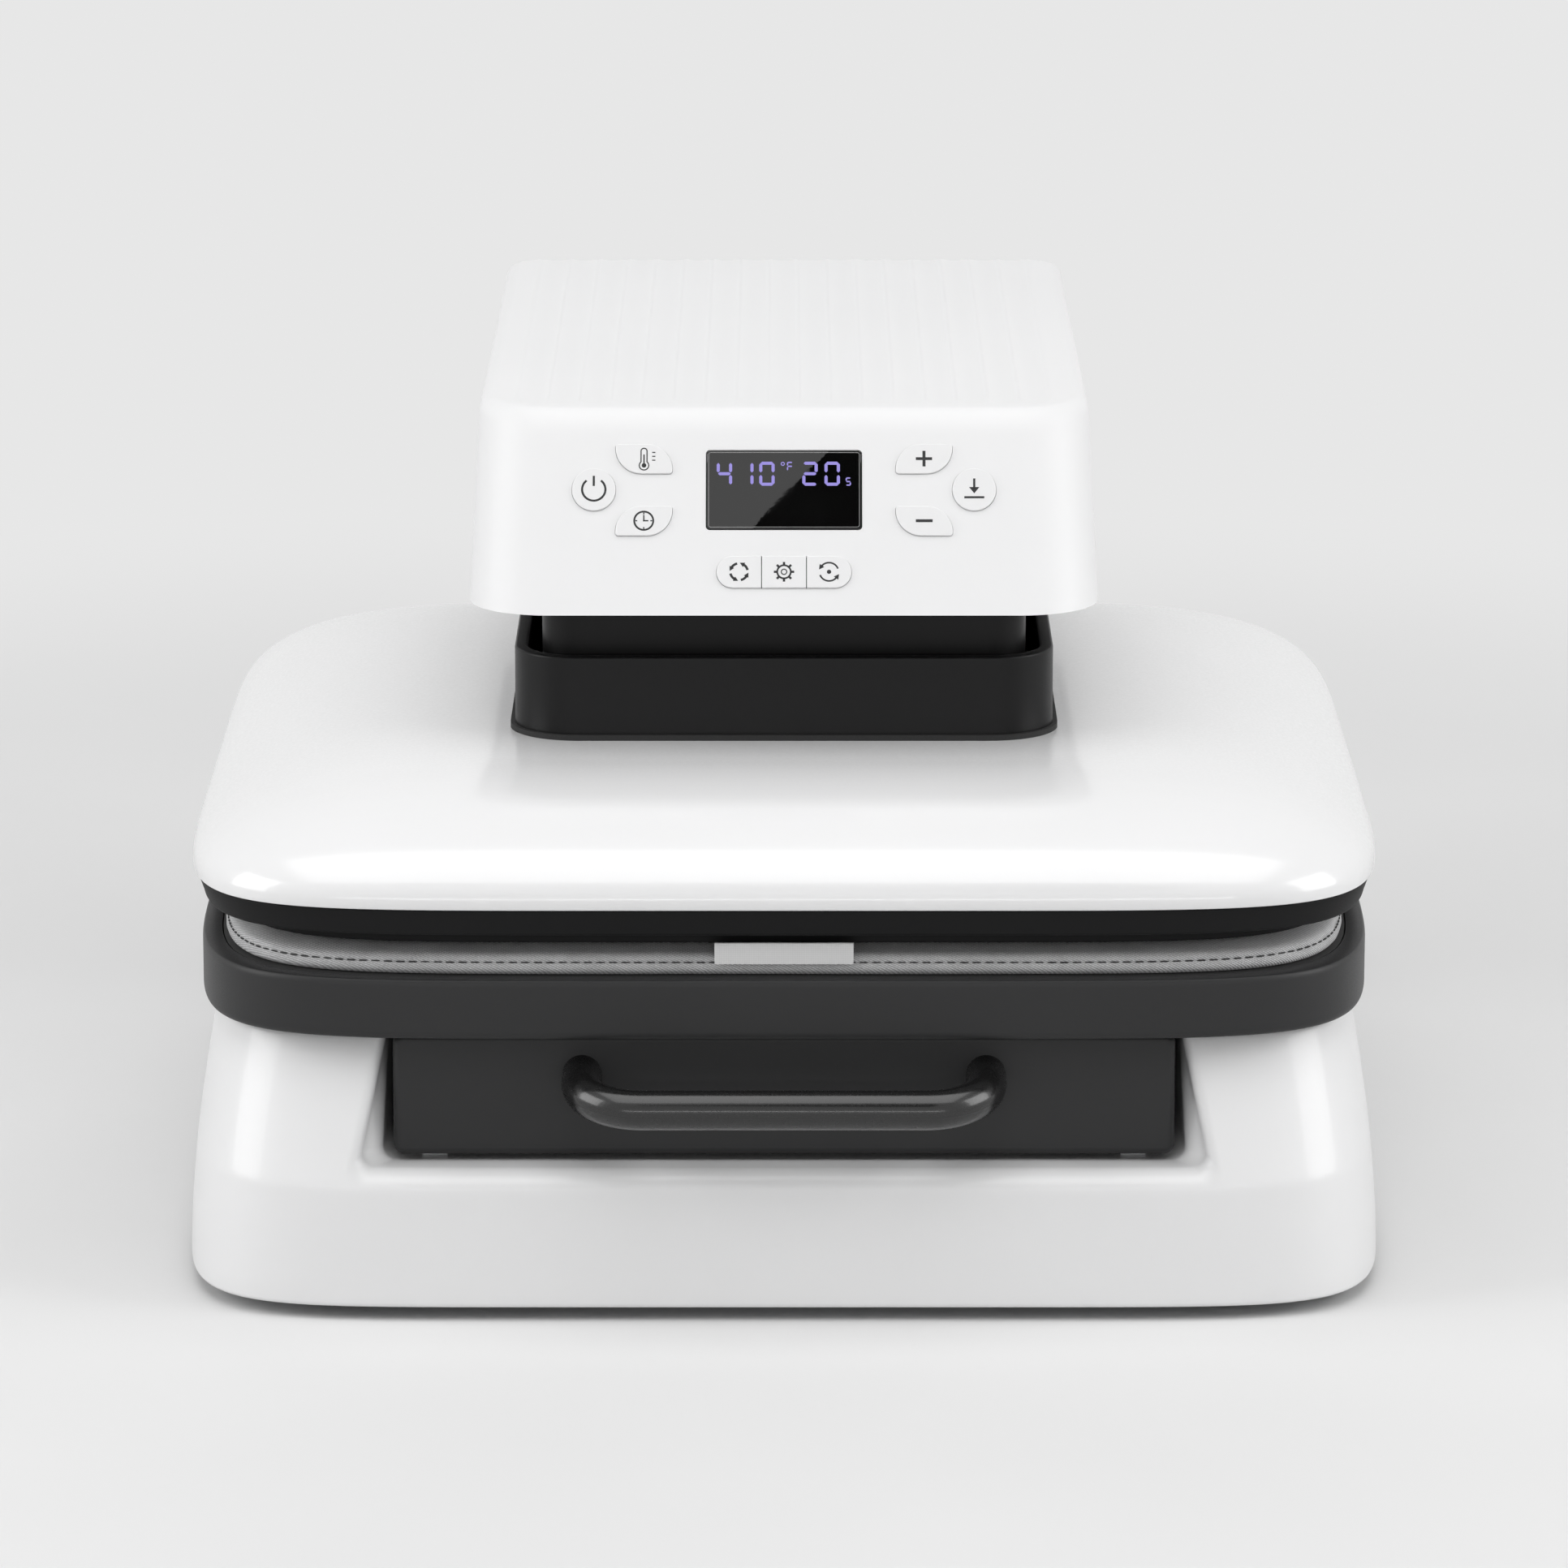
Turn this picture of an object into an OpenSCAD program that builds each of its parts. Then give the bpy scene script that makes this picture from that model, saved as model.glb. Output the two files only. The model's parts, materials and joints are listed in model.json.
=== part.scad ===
// Automatic heat press: a motor lowers a heated platen onto a mat that slides out on a drawer.
// Millimetres, +Z up, front at -Y. The origin lies on the floor, under the middle of the machine.

/* [Heat platen] */
// Side of the square heat plate
plate_w = 381; // [350:1:400]
// Thickness of the heat plate
plate_t = 12; // [9:0.5:15]
// Exponent of the rounded square that the plate, cover and tray share
square_n = 7; // [5:0.1:9]
// Reach of the cover past the edge of the heat plate
cover_margin = 27.5; // [25:0.5:32]
// Height of the domed cover
cover_h = 34; // [26:1:44]
// Width of the domed edge of the cover, seen from above
cover_edge = 88; // [60:1:96]
// Wall of the cover
cover_wall = 3; // [2:0.5:4]
// Height of the dark rim under the cover
rim_h = 10; // [7:0.5:14]
// How far the rim draws in towards its foot
rim_taper = 2.5; // [0.5:0.5:5]
// Air gap round the heat plate
plate_gap = 3; // [2:0.5:5]
// Wall of the skirt round the heat plate
skirt_wall = 9.5; // [7:0.5:11]
// Thickness of the insulation above the heating element
insul_t = 6.4; // [4:0.2:10]
// Thickness of the steel pressure plate
press_t = 4; // [3:0.5:6]

/* [Base] */
// Height of the rubber feet
foot_h = 5; // [3:0.5:10]
// Diameter of a rubber foot
foot_d = 32; // [20:1:44]
// Height of the base shell
base_h = 96.5; // [88:0.5:110]
// Reach of the base past the edge of the heat plate, at each side
base_margin = 29.3; // [27:0.1:36]
// Reach of the base past the edge of the heat plate, at the front
base_front = 34.5; // [32:0.5:40]
// Exponent of the base's rounded square
base_n = 9; // [6:0.1:12]
// How much narrower each side is at the deck than at the floor
base_flare = 11; // [6:0.5:16]
// Height of the apron below the leaning cheeks
apron_h = 44; // [38:1:50]
// Lean of the cheeks above the apron
cheek_lean = 17; // [8:0.5:20]
// Lean of the apron and of the walls above it
apron_lean = 5.15; // [2:0.05:8]
// Lean of the rear wall
rear_lean = 1.15; // [0:0.05:3]
// Wall of the base shell
base_wall = 3; // [2:0.5:4]
// Depth of the drawer slot below the deck
slot_depth = 47.1; // [45:0.1:52]
// How much wider the mouth of the slot is at its floor, at each side
slot_taper = 9; // [4:0.5:11]
// Radius of the soft front edges of the slot
slot_round = 6; // [3:0.5:8]
// Depth of the slot's flared mouth, behind the front of the base
slot_flare = 17; // [12:0.5:24]

/* [Drawer] */
// Width of the drawer front
drawer_w = 282; // [262:1:296]
// Thickness of the drawer front
drawer_t = 8; // [5:0.5:12]
// Height of the tray's band
tray_h = 21.9; // [18:0.1:28]
// Reach of the tray past the edge of the heat plate
tray_margin = 24.5; // [22:0.5:27]
// Wall of the tray
tray_wall = 3; // [2:0.5:4]
// Width of the tray's raised border
tray_border = 7; // [5:0.5:9]
// Thickness of the silicone pad under the mat
pad_t = 4; // [3:0.5:8]
// Thickness of the padded mat
mat_t = 9.8; // [8:0.2:14]
// Width of the sewn tab
tab_w = 50; // [30:1:70]
// Height of the tab above the seam
tab_h = 8; // [4:0.5:8]
// Length of the telescopic slides
rail_l = 380; // [320:1:390]
// Height of the telescopic slides
rail_h = 44; // [38:1:45]
// Sheet thickness of the slides
rail_t = 1.5; // [1.2:0.1:1.8]

/* [Handle] */
// Width over the handle
handle_w = 160; // [120:1:200]
// Diameter of the bar
handle_d = 14.5; // [10:0.5:18]
// Length of a leg, from the drawer front to the middle of the bar
handle_run = 30.4; // [26:0.2:38]
// Droop of the legs towards the bar
handle_tilt = 9.5; // [0:0.5:14]
// Bend radius at the middle of the bar
handle_bend = 22; // [16:1:24]

/* [Collar and head] */
// Width of the collar on the cover
collar_w = 201; // [192:1:216]
// Depth of the collar
collar_d = 186; // [178:1:196]
// Height of the collar
collar_h = 31.3; // [26:0.1:40]
// Wall of the collar
collar_wall = 5; // [4:0.5:6]
// Corner radius of the collar
collar_r = 24; // [20:1:30]
// Width of the soft ring round the foot of the collar
gasket_w = 1.8; // [1:0.1:3]
// Air between the collar and the shroud inside it
shroud_gap = 5.25; // [4:0.25:7]
// Height of shroud in view with the platen down
shroud_show = 19.7; // [16:0.1:26]
// Height of the head
head_h = 70.5; // [68:0.5:90]
// Reach of the head past the collar at each side
head_side = 16.1; // [14:0.1:24]
// Reach of the head past the collar at the front
head_front = 18; // [16:0.5:26]
// Lean of the control panel
panel_lean = 27; // [18:0.5:30]
// How much narrower each side of the head is at its top
head_draft = 3; // [1:0.5:5]
// Wall of the head cover
head_wall = 2.5; // [2:0.25:3]
// Corner radius of the head, seen from above
head_r = 30; // [24:1:36]
// Number of flutes on the top of the head
flute_count = 17; // [9:1:19]
// Distance between flutes
flute_pitch = 11.7; // [9:0.1:12]
// Depth of a flute
flute_depth = 1.1; // [0.5:0.1:1.4]

/* [Column] */
// Width of the column cover
column_w = 196; // [180:1:204]
// Depth of the column cover
column_d = 56; // [52:1:64]
// Wall of the column cover
column_wall = 3; // [2:0.5:3.5]
// Thickness of a steel arm
arm_t = 12; // [10:1:16]
// Thickness of the steel plate in the head
frame_t = 6; // [5:0.5:8]
// Thickness of the bottom plate
bottom_t = 2; // [1.5:0.5:3]

/* [Lift] */
// Travel of the platen
lift = 32; // [24:1:34]
// Diameter of the lead screw
screw_d = 16; // [12:1:20]
// Diameter of a guide post
post_d = 12; // [8:1:14]
// Distance of a guide post from the middle, across
post_x = 60; // [54:1:64]
// Distance of a guide post from the middle, front to back
post_y = 50; // [46:1:54]

/* [Controls] */
// Width of the display
display_w = 57.7; // [44:0.1:62]
// Height of the display
display_h = 30.7; // [24:0.1:32]
// Diameter of a round key
round_d = 16.2; // [12:0.1:18]
// Distance of a round key from the middle
round_x = 70.2; // [68:0.1:76]
// Width of a leaf key
leaf_w = 21; // [16:0.1:22]
// Height of a leaf key
leaf_h = 11.3; // [9:0.1:12]
// Distance of a leaf key from the middle
leaf_x = 51.7; // [49:0.1:54]
// Width of the row of three keys
pill_w = 49.7; // [40:0.1:56]
// Height of the row of three keys
pill_h = 12.1; // [9:0.1:13]
// How far a key stands proud
key_proud = 0.8; // [0.5:0.1:1.5]
// Travel of a key
key_travel = 1; // [0.6:0.1:1.2]

/* [Clearances] */
// Gap between the mat and the heat plate
press_gap = 1.2; // [1:0.1:3]
// Gap between the tray and the deck
tray_clear = 1; // [0.6:0.1:2]
// Gap between pieces that move past each other, and round loose seats
slip = 0.3; // [0.25:0.05:0.4]
// Radial clearance of shafts, posts and located pieces
fit = 0.05; // [0.02:0.01:0.08]

/* [Hidden] */
$fn = 48;
ring_n = 64;
over = 1;

white = "whitesmoke";
charcoal = "#38393b";
black = "#18191b";
steel = "#a9adb2";
brass = "#c9a95c";

// Heights, from the floor up
deck_z = foot_h + base_h;
slot_z = deck_z - slot_depth;
apron_z = foot_h + apron_h;
tray_z0 = deck_z + tray_clear;
tray_z1 = tray_z0 + tray_h;
recess_h = pad_t + 0.4;
pad_z0 = tray_z1 - recess_h;
tray_floor_z = pad_z0 - tray_wall;
mat_z0 = pad_z0 + pad_t;
mat_z1 = mat_z0 + mat_t;
plate_z0 = mat_z1 + press_gap;
plate_z1 = plate_z0 + plate_t;
skirt_z0 = plate_z0 + 0.5;
rim_z0 = plate_z0 + 6;
cover_z0 = rim_z0 + rim_h;
cover_z1 = cover_z0 + cover_h;
element_r = 3.5;
insul_z0 = plate_z1 + element_r + 0.1;
press_z0 = insul_z0 + insul_t;
press_z1 = press_z0 + press_t;
collar_z1 = cover_z1 + collar_h;
head_z0 = collar_z1 + shroud_show;
head_z1 = head_z0 + head_h;
pan_t = 3;
frame_z0 = collar_z1 + lift + 3.7;
frame_z1 = frame_z0 + frame_t;
shroud_z0 = press_z1 + lift + 3;
screw_z0 = press_z1 + lift + 2;
nut_z0 = screw_z0 + 2;
nut_h = 18;
post_z1 = frame_z1 + 8;

// Half widths of the rounded squares
plate_a = plate_w / 2;
cover_a = plate_a + cover_margin;
rim_a1 = cover_a - 1;
rim_a0 = rim_a1 - rim_taper;
skirt_in = plate_a + plate_gap;
skirt_a = skirt_in + skirt_wall;
upstand_a = skirt_in + 6.5;
press_a = upstand_a + 5;
tray_a = plate_a + tray_margin;
recess_a = tray_a - tray_border;
pad_a = recess_a - slip;
mat_a = recess_a - 1;
base_a = plate_a + base_margin;

// Front and rear of the base, drawer and column
base_y0 = -(plate_a + base_front);
column_gap = 6;
column_y0 = cover_a + column_gap;
column_y1 = column_y0 + column_d;
base_y1 = column_y1 + 5;
arm_gap = 1;
arm_y0 = column_y0 + column_wall + arm_gap;
arm_y1 = column_y1 - column_wall - arm_gap;
arm_x = 64;
drawer_inset = 10;
drawer_y0 = -(tray_a - drawer_inset);
drawer_y1 = drawer_y0 + drawer_t;
drawer_z0 = slot_z + 2.3;
drawer_z1 = tray_z0 - 0.5;
drawer_r = 4;
slot_a1 = drawer_w / 2 + 2;
slot_y1 = column_y0 - 19;
foot_x = base_a - 50;
foot_y0 = base_y0 + 60;
foot_y1 = base_y1 - 60;

// Slides and carriage
rail_space = 23;
carriage_a = drawer_w / 2 - rail_space;
carriage_t = 3;
rail_z0 = slot_z + rail_t + slip;
rail_lip = 8;
inner_x0 = carriage_a;
mid_x1 = inner_x0 + rail_t + rail_lip + slip + rail_t;
outer_x1 = mid_x1 + slip + rail_t;
rail_foot = 9;
rail_y0 = drawer_y1 + 2;
carriage_y1 = drawer_y1 + rail_l + 5;

// Collar, shroud and head
opening_w = collar_w - 9;
opening_d = collar_d - 9;
opening_r = collar_r - 4.5;
spigot_wall = 2.2;
spigot_h = 7;
shroud_w = collar_w - 2 * (collar_wall + shroud_gap);
shroud_d = collar_d - 2 * (collar_wall + shroud_gap);
shroud_r = collar_r - collar_wall - 3;
shroud_wall = 2.5;
head_a = collar_w / 2 + head_side;
head_y0 = -(collar_d / 2 + head_front);
head_y1 = column_y1;
head_top_r = 5.5;
head_front_r = 8;
head_rear_r = 20;
head_rear_corner = 18;
frame_a = arm_x + arm_t / 2 + 14;
frame_y0 = -(post_y + 20);
pan_gap = 3.5;

// Control panel, measured up its slope from the front lower edge of the head
panel_len = head_h / cos(panel_lean);
display_v = panel_len / 2 + 8.4;
round_v = display_v;
leaf_v1 = display_v + 11.8;
leaf_v0 = display_v - 12;
pill_v = display_v - 31.5;
pill_third_w = pill_w / 3;
board_w = 2 * round_x + 24;
board_h = 58;
board_t = 1.6;
board_drop = 8;
board_v = display_v - 6;
switch_h = 2.4;
switch_w = 6;
key_flange = 1.5;
key_flange_t = 1.2;
stem_d = 4;
window_r = 1.5;
window_lip = 2;
window_lip_t = 1;

// Middle of the machine on the floor
handle_y = drawer_y0 - handle_run * cos(handle_tilt) - handle_d / 2;
origin_y = -(handle_y + base_y1) / 2;

// Shared shapes

// One quarter turn eased from 0 to 1, for domed edges
function round_in(u) = 1 - sqrt(max(0, 1 - u * u));

// Ramp that is flat below 0, slopes by 1 above it and bends softly over a span r each way
function soft_ramp(u, r) = u < -r ? 0 : u > r ? u : (u + r) * (u + r) / (4 * r);

// Ring of a rounded square with half width a, from y0 to y1, at height z, with exponent n
function square_ring(a, y0, y1, z, n = square_n) = [
    for (i = [0 : ring_n - 1])
        let (c = cos(360 * i / ring_n), s = sin(360 * i / ring_n))
        [
            a * sign(c) * pow(abs(c), 2 / n),
            (y0 + y1) / 2 + (y1 - y0) / 2 * sign(s) * pow(abs(s), 2 / n),
            z
        ]
];

// Ring of a rounded rectangle with straight sides, corner radius rf at the front and rb at the rear
corner_n = 7;
function corner(x, y, r, a) = [for (i = [0 : corner_n]) [x + r * cos(a + 90 * i / corner_n),
                                                         y + r * sin(a + 90 * i / corner_n)]];
function box_ring(a, y0, y1, rf, rb, z) = [
    for (p = concat(corner(a - rb, y1 - rb, rb, 0), corner(-a + rb, y1 - rb, rb, 90),
                    corner(-a + rf, y0 + rf, rf, 180), corner(a - rf, y0 + rf, rf, 270)))
        [p[0], p[1], z]
];

// Closed solid through rings that have equal numbers of points
module skin(rings) {
    n = len(rings[0]);
    last = (len(rings) - 1) * n;
    walls = [
        for (k = [0 : len(rings) - 2], i = [0 : n - 1])
            let (p = k * n + i, q = k * n + (i + 1) % n)
            each [[p, p + n, q + n], [p, q + n, q]]
    ];
    caps = [[for (i = [0 : n - 1]) i], [for (i = [n - 1 : -1 : 0]) last + i]];
    polyhedron([for (ring = rings) each ring], concat(walls, caps));
}

// Upright block on a rounded square
module square_block(a, z0, z1) {
    translate([0, 0, z0])
        linear_extrude(z1 - z0)
            polygon([for (p = square_ring(a, -a, a, 0)) [p[0], p[1]]]);
}

// Flat rounded rectangle, centred
module soft_rect(w, d, r) {
    square([w - 2 * r, d], center = true);
    square([w, d - 2 * r], center = true);
    for (x = [-1, 1], y = [-1, 1])
        translate([x * (w / 2 - r), y * (d / 2 - r)])
            circle(r);
}

// Upright block on a rounded rectangle, grown by g all round
module soft_block(w, d, r, z0, z1, g = 0) {
    translate([0, 0, z0])
        linear_extrude(z1 - z0)
            soft_rect(w + 2 * g, d + 2 * g, r + g);
}

// Box between two corners
module block(low, high) {
    translate(low)
        cube(high - low);
}

// Upright cylinder between two heights
module rod(d, z0, z1) {
    translate([0, 0, z0])
        cylinder(d = d, h = z1 - z0);
}

// A shape and its mirror image across the middle
module both_sides() {
    children();
    mirror([1, 0, 0])
        children();
}

// The same shape at the four guide posts
module at_posts() {
    for (x = [-post_x, post_x], y = [-post_y, post_y])
        translate([x, y, 0])
            children();
}

// Moves a shape from the platen's middle to the machine's middle
module placed() {
    translate([0, origin_y, 0])
        children();
}

// Puts a shape on the control panel: x across, y up the slope, z out of the panel
module on_panel() {
    translate([0, head_y0, head_z0])
        rotate([90 - panel_lean, 0, 0])
            children();
}

// Base

apron_bend = 5;
function base_side(z) = base_a - base_flare * pow((z - foot_h) / base_h, 1.8);
function base_nose(z) = base_y0 + tan(apron_lean) * (z - foot_h)
    + tan(cheek_lean) * soft_ramp(z - apron_z, apron_bend);
function base_tail(z) = base_y1 - tan(rear_lean) * (z - foot_h);
function base_ring(z, inset) =
    square_ring(base_side(z) - inset, base_nose(z) + inset, base_tail(z) - inset, z, base_n);

// Front of the base at a point of the front view
function base_face(x, z) =
    let (b = (base_tail(z) - base_nose(z)) / 2)
    base_nose(z) + b - b * pow(1 - pow(abs(x) / base_side(z), base_n), 1 / base_n);

base_foot_r = 2;
base_edge_r = 3;

module base_body() {
    foot_rings = [for (u = [1, 0.6, 0.2])
        base_ring(foot_h + base_foot_r * (1 - u), base_foot_r * round_in(u))];
    wall_rings = [for (u = [0.05, 0.22, 0.4]) base_ring(foot_h + apron_h * 2 * u, 0)];
    bend_rings = [for (u = [-0.8, -0.2, 0.4, 1]) base_ring(apron_z + apron_bend * u, 0)];
    cheek_rings = [for (u = [0.3, 0.6, 0.9])
        base_ring(apron_z + apron_bend + (base_h - apron_h - apron_bend - base_edge_r) * u, 0)];
    edge_rings = [for (u = [0, 0.5, 0.85, 1])
        base_ring(deck_z - base_edge_r * (1 - u), base_edge_r * round_in(u))];
    skin(concat(foot_rings, wall_rings, bend_rings, cheek_rings, edge_rings));
}

module base_cavity() {
    top = deck_z - base_wall;
    skin([
        for (z = [foot_h - over, foot_h + bottom_t + slip, foot_h + apron_h * 0.6, apron_z,
                  apron_z + 2 * apron_bend, (apron_z + top) / 2, top])
            base_ring(max(z, foot_h), base_wall) + [for (i = [0 : ring_n - 1]) [0, 0, min(0, z - foot_h)]]
    ]);
}

// Outline of the slot in the front view, grown by g, with its floor wider than its top by w at each side
slot_corner = 5;
function slot_outline(g, w) =
    let (lean = w / slot_depth,
         x0 = slot_a1 + w + g,
         z0 = slot_z - g,
         x1 = slot_a1 + g - lean * (over + g))
    concat(
        [[x1, deck_z + over]],
        [for (a = [0 : 30 : 90]) [x0 - slot_corner * (1 - cos(a)), z0 + slot_corner * (1 - sin(a))]],
        [for (a = [90 : -30 : 0]) [-x0 + slot_corner * (1 - cos(a)), z0 + slot_corner * (1 - sin(a))]],
        [[-x1, deck_z + over]]
    );

function slot_ring(g, y, w) = [for (p = slot_outline(g, w)) [p[0], y, p[1]]];
function slot_face_ring(g, depth, w) = [
    for (p = slot_outline(g, w)) [p[0], base_face(p[0], min(p[1], deck_z)) + depth, p[1]]
];

// The slot itself: rounded front edges, a flared mouth and nearly upright walls behind it
slot_draft = 2;

module slot_space() {
    front = [slot_ring(slot_round, base_y0 - 10 * over, slot_taper)];
    lips = [for (a = [0 : 18 : 90])
        slot_face_ring(slot_round * (1 - sin(a)), slot_round * (1 - cos(a)) - 0.02, slot_taper)];
    mouth = [slot_face_ring(0, slot_flare, slot_draft)];
    skin(concat(front, lips, mouth, [slot_ring(0, slot_y1, slot_draft)]));
}

// The slot with its walls round it
module slot_walls() {
    front = [slot_ring(base_wall, base_y0 - 5 * over, slot_taper)];
    mouth = [slot_face_ring(base_wall, slot_round, slot_taper), slot_face_ring(base_wall, slot_flare, slot_draft)];
    skin(concat(front, mouth, [slot_ring(base_wall, slot_y1 + base_wall, slot_draft)]));
}

screw_boss_d = 12;
boss_x = base_a - 28;
boss_ys = [base_y0 + 95, base_y1 - 95];

module base_shell() {
    color(white)
        placed()
            difference() {
                base_body();
                difference() {
                    base_cavity();
                    slot_walls();
                    for (x = [-boss_x, boss_x], y = boss_ys)
                        translate([x, y, 0])
                            rod(screw_boss_d, foot_h + bottom_t, deck_z);
                }
                slot_space();
                arm_way(deck_z - base_wall - over, deck_z + over);
                for (x = [-boss_x, boss_x], y = boss_ys)
                    translate([x, y, 0])
                        rod(screw_shank_d + 2 * fit, foot_h - over, foot_h + screw_l + over);
            }
}

module bottom_plate() {
    a = base_side(foot_h) - base_wall - slip;
    y0 = base_nose(foot_h) + base_wall + slip;
    y1 = base_tail(foot_h) - base_wall - slip;
    color(steel)
        placed()
            difference() {
                translate([0, 0, foot_h])
                    linear_extrude(bottom_t)
                        polygon([for (p = square_ring(a, y0, y1, 0, base_n)) [p[0], p[1]]]);
                at_base_screws()
                    rod(screw_shank_d + 2 * fit, foot_h - over, foot_h + bottom_t + over);
            }
}

module feet() {
    color(black)
        placed()
            for (x = [-foot_x, foot_x], y = [foot_y0, foot_y1])
                translate([x, y, 0])
                    cylinder(d1 = foot_d - 4, d2 = foot_d, h = foot_h);
}

screw_shank_d = 5;
screw_head_d = 9;
screw_head_h = 2.5;
screw_l = 18;
arm_screw_inset = 11;

module at_arm_screws() {
    for (x = [-arm_x, arm_x], y = [arm_y0 + arm_screw_inset, arm_y1 - arm_screw_inset])
        translate([x, y, 0])
            children();
}

module at_base_screws() {
    for (x = [-boss_x, boss_x], y = boss_ys)
        translate([x, y, 0])
            children();
    at_arm_screws()
        children();
}

// Screw that stands on its head, with its shank upwards
module cap_screw(z) {
    rod(screw_head_d, z - screw_head_h, z);
    rod(screw_shank_d, z - over, z + screw_l);
}

module base_screws() {
    color(steel)
        placed()
            at_base_screws()
                cap_screw(foot_h);
}

// Column

module column_frame() {
    color(steel)
        placed()
            difference() {
                both_sides()
                    block([arm_x - arm_t / 2, arm_y0, foot_h + bottom_t],
                          [arm_x + arm_t / 2, arm_y1, frame_z0]);
                at_arm_screws() {
                    rod(screw_shank_d + 2 * fit, foot_h, foot_h + screw_l + over);
                    rod(screw_shank_d + 2 * fit, frame_z1 - screw_l - over, frame_z1);
                }
            }
}

vent_count = 9;
vent_pitch = 8;
vent_w = 3;
vent_h = 34;
vent_z = deck_z + 78;
inlet_z = deck_z + 34;
inlet_w = 28;
inlet_h = 20.5;
inlet_hole_w = inlet_w + 14;
inlet_hole_h = inlet_h + 2;
column_r = 14;

module column_cover() {
    rear_wall_y = (column_d - column_wall) / 2;
    color(white)
        placed()
            translate([0, (column_y0 + column_y1) / 2, 0])
                difference() {
                    soft_block(column_w, column_d, column_r, deck_z, head_z0);
                    soft_block(column_w, column_d, column_r, deck_z - over, head_z0 + over, -column_wall);
                    for (i = [0 : vent_count - 1])
                        translate([(i - (vent_count - 1) / 2) * vent_pitch, rear_wall_y, vent_z])
                            cube([vent_w, column_wall + 2 * over, vent_h], center = true);
                    translate([0, rear_wall_y, inlet_z])
                        cube([inlet_hole_w, column_wall + 2 * over, inlet_hole_h], center = true);
                }
}

// Way for the steel arms through a floor between two heights
module arm_way(z0, z1) {
    block([-arm_x - arm_t, arm_y0 - arm_gap / 2, z0], [arm_x + arm_t, arm_y1 + arm_gap / 2, z1]);
}

module frame_screws() {
    color(steel)
        placed()
            at_arm_screws()
                mirror([0, 0, 1])
                    cap_screw(-frame_z1);
}

// Appliance inlet, held by the flange on the outside of the column
inlet_flange_t = 2;
inlet_flange_w = inlet_w + 22;
inlet_flange_h = inlet_h + 5;
inlet_flange_r = 4;
inlet_deep = 22;
inlet_wall = 2;
inlet_r = 3;
socket_deep = 14;
pin_l = 10;
pin_t = 2;
pin_h = 4;
pin_x = 7;
pin_drop = 3;
earth_drop = 5.2;

// Outward frame of the inlet, with its depth along z
module at_inlet() {
    translate([0, column_y1, inlet_z])
        rotate([90, 0, 0])
            children();
}

module power_inlet() {
    color(black)
        placed()
            at_inlet()
                difference() {
                    union() {
                        soft_block(inlet_flange_w, inlet_flange_h, inlet_flange_r, -inlet_flange_t, 0);
                        soft_block(inlet_w, inlet_h, inlet_r, -over, inlet_deep);
                    }
                    soft_block(inlet_w, inlet_h, inlet_r, -inlet_flange_t - over, socket_deep, -inlet_wall);
                }
}

module inlet_pins() {
    color(steel)
        placed()
            at_inlet()
                for (p = [[-pin_x, -pin_drop], [pin_x, -pin_drop], [0, -earth_drop]])
                    translate([p[0], p[1], socket_deep - pin_l])
                        linear_extrude(pin_l)
                            square([pin_t, pin_h], center = true);
}

// Head

// Corner inset of a rounded edge of radius r, at a height t below the top
function edge_inset(r, t) = t >= r ? 0 : r * round_in((r - t) / r);

function head_ring(z, wall) =
    let (t = max(0, head_z1 - wall - z),
         up = z - head_z0,
         side = edge_inset(max(1, head_top_r - wall), t))
    box_ring(
        head_a - head_draft * up / head_h - wall - side,
        head_y0 + tan(panel_lean) * up + wall / cos(panel_lean) + edge_inset(head_front_r - wall, t) / 2,
        head_y1 - wall - edge_inset(head_rear_r - wall, t),
        head_r - wall - side,
        head_rear_corner - wall - side,
        z
    );

head_levels = [for (t = [head_rear_r, 13, 8, 5.5, 3.4, 1.8, 0.7, 0.15, 0]) head_z1 - t];
flute_r = (flute_pitch * flute_pitch / 4 + flute_depth * flute_depth) / (2 * flute_depth);
flute_y0 = head_y0 + tan(panel_lean) * head_h + head_front_r + 10;
head_boss_d = 10;
head_boss_ys = [-post_y / 2, column_y0 - 30];
board_boss_d = 6;
board_boss_x = board_w / 2 - 4;
board_boss_v = board_h / 2 - 6;

module head_shell() {
    top = len(head_levels) - 1;
    inner = concat([for (i = [top : -1 : 0]) head_ring(head_levels[i] - head_wall, head_wall)],
                   [head_ring(head_z0, head_wall)]);
    outer = concat([head_ring(head_z0, 0)], [for (z = head_levels) head_ring(z, 0)]);
    skin(concat(inner, outer));
}

// One flute along the top, with a round end at the front
module flute() {
    depth = head_z1 + flute_r - flute_depth;
    translate([0, flute_y0, depth]) {
        sphere(flute_r, $fn = 96);
        rotate([-90, 0, 0])
            cylinder(r = flute_r, h = head_y1 - flute_y0 + over, $fn = 96);
    }
}

module head_cover() {
    color(white)
        placed() {
            difference() {
                head_shell();
                for (i = [0 : flute_count - 1])
                    translate([(i - (flute_count - 1) / 2) * flute_pitch, 0, 0])
                        flute();
                on_panel()
                    translate([0, 0, -head_wall - over])
                        linear_extrude(head_wall + 2 * over) {
                            key_holes();
                            translate([0, display_v])
                                soft_rect(display_w, display_h, window_r);
                        }
            }
            for (x = [-frame_a + 8, frame_a - 8], y = head_boss_ys)
                translate([x, y, 0])
                    rod(head_boss_d, frame_z1, head_z1 - head_wall);
            on_panel()
                for (x = [-board_boss_x, board_boss_x], v = [board_v - board_boss_v, board_v + board_boss_v])
                    translate([x, v, -board_drop])
                        cylinder(d = board_boss_d, h = board_drop - head_wall);
        }
}

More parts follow.
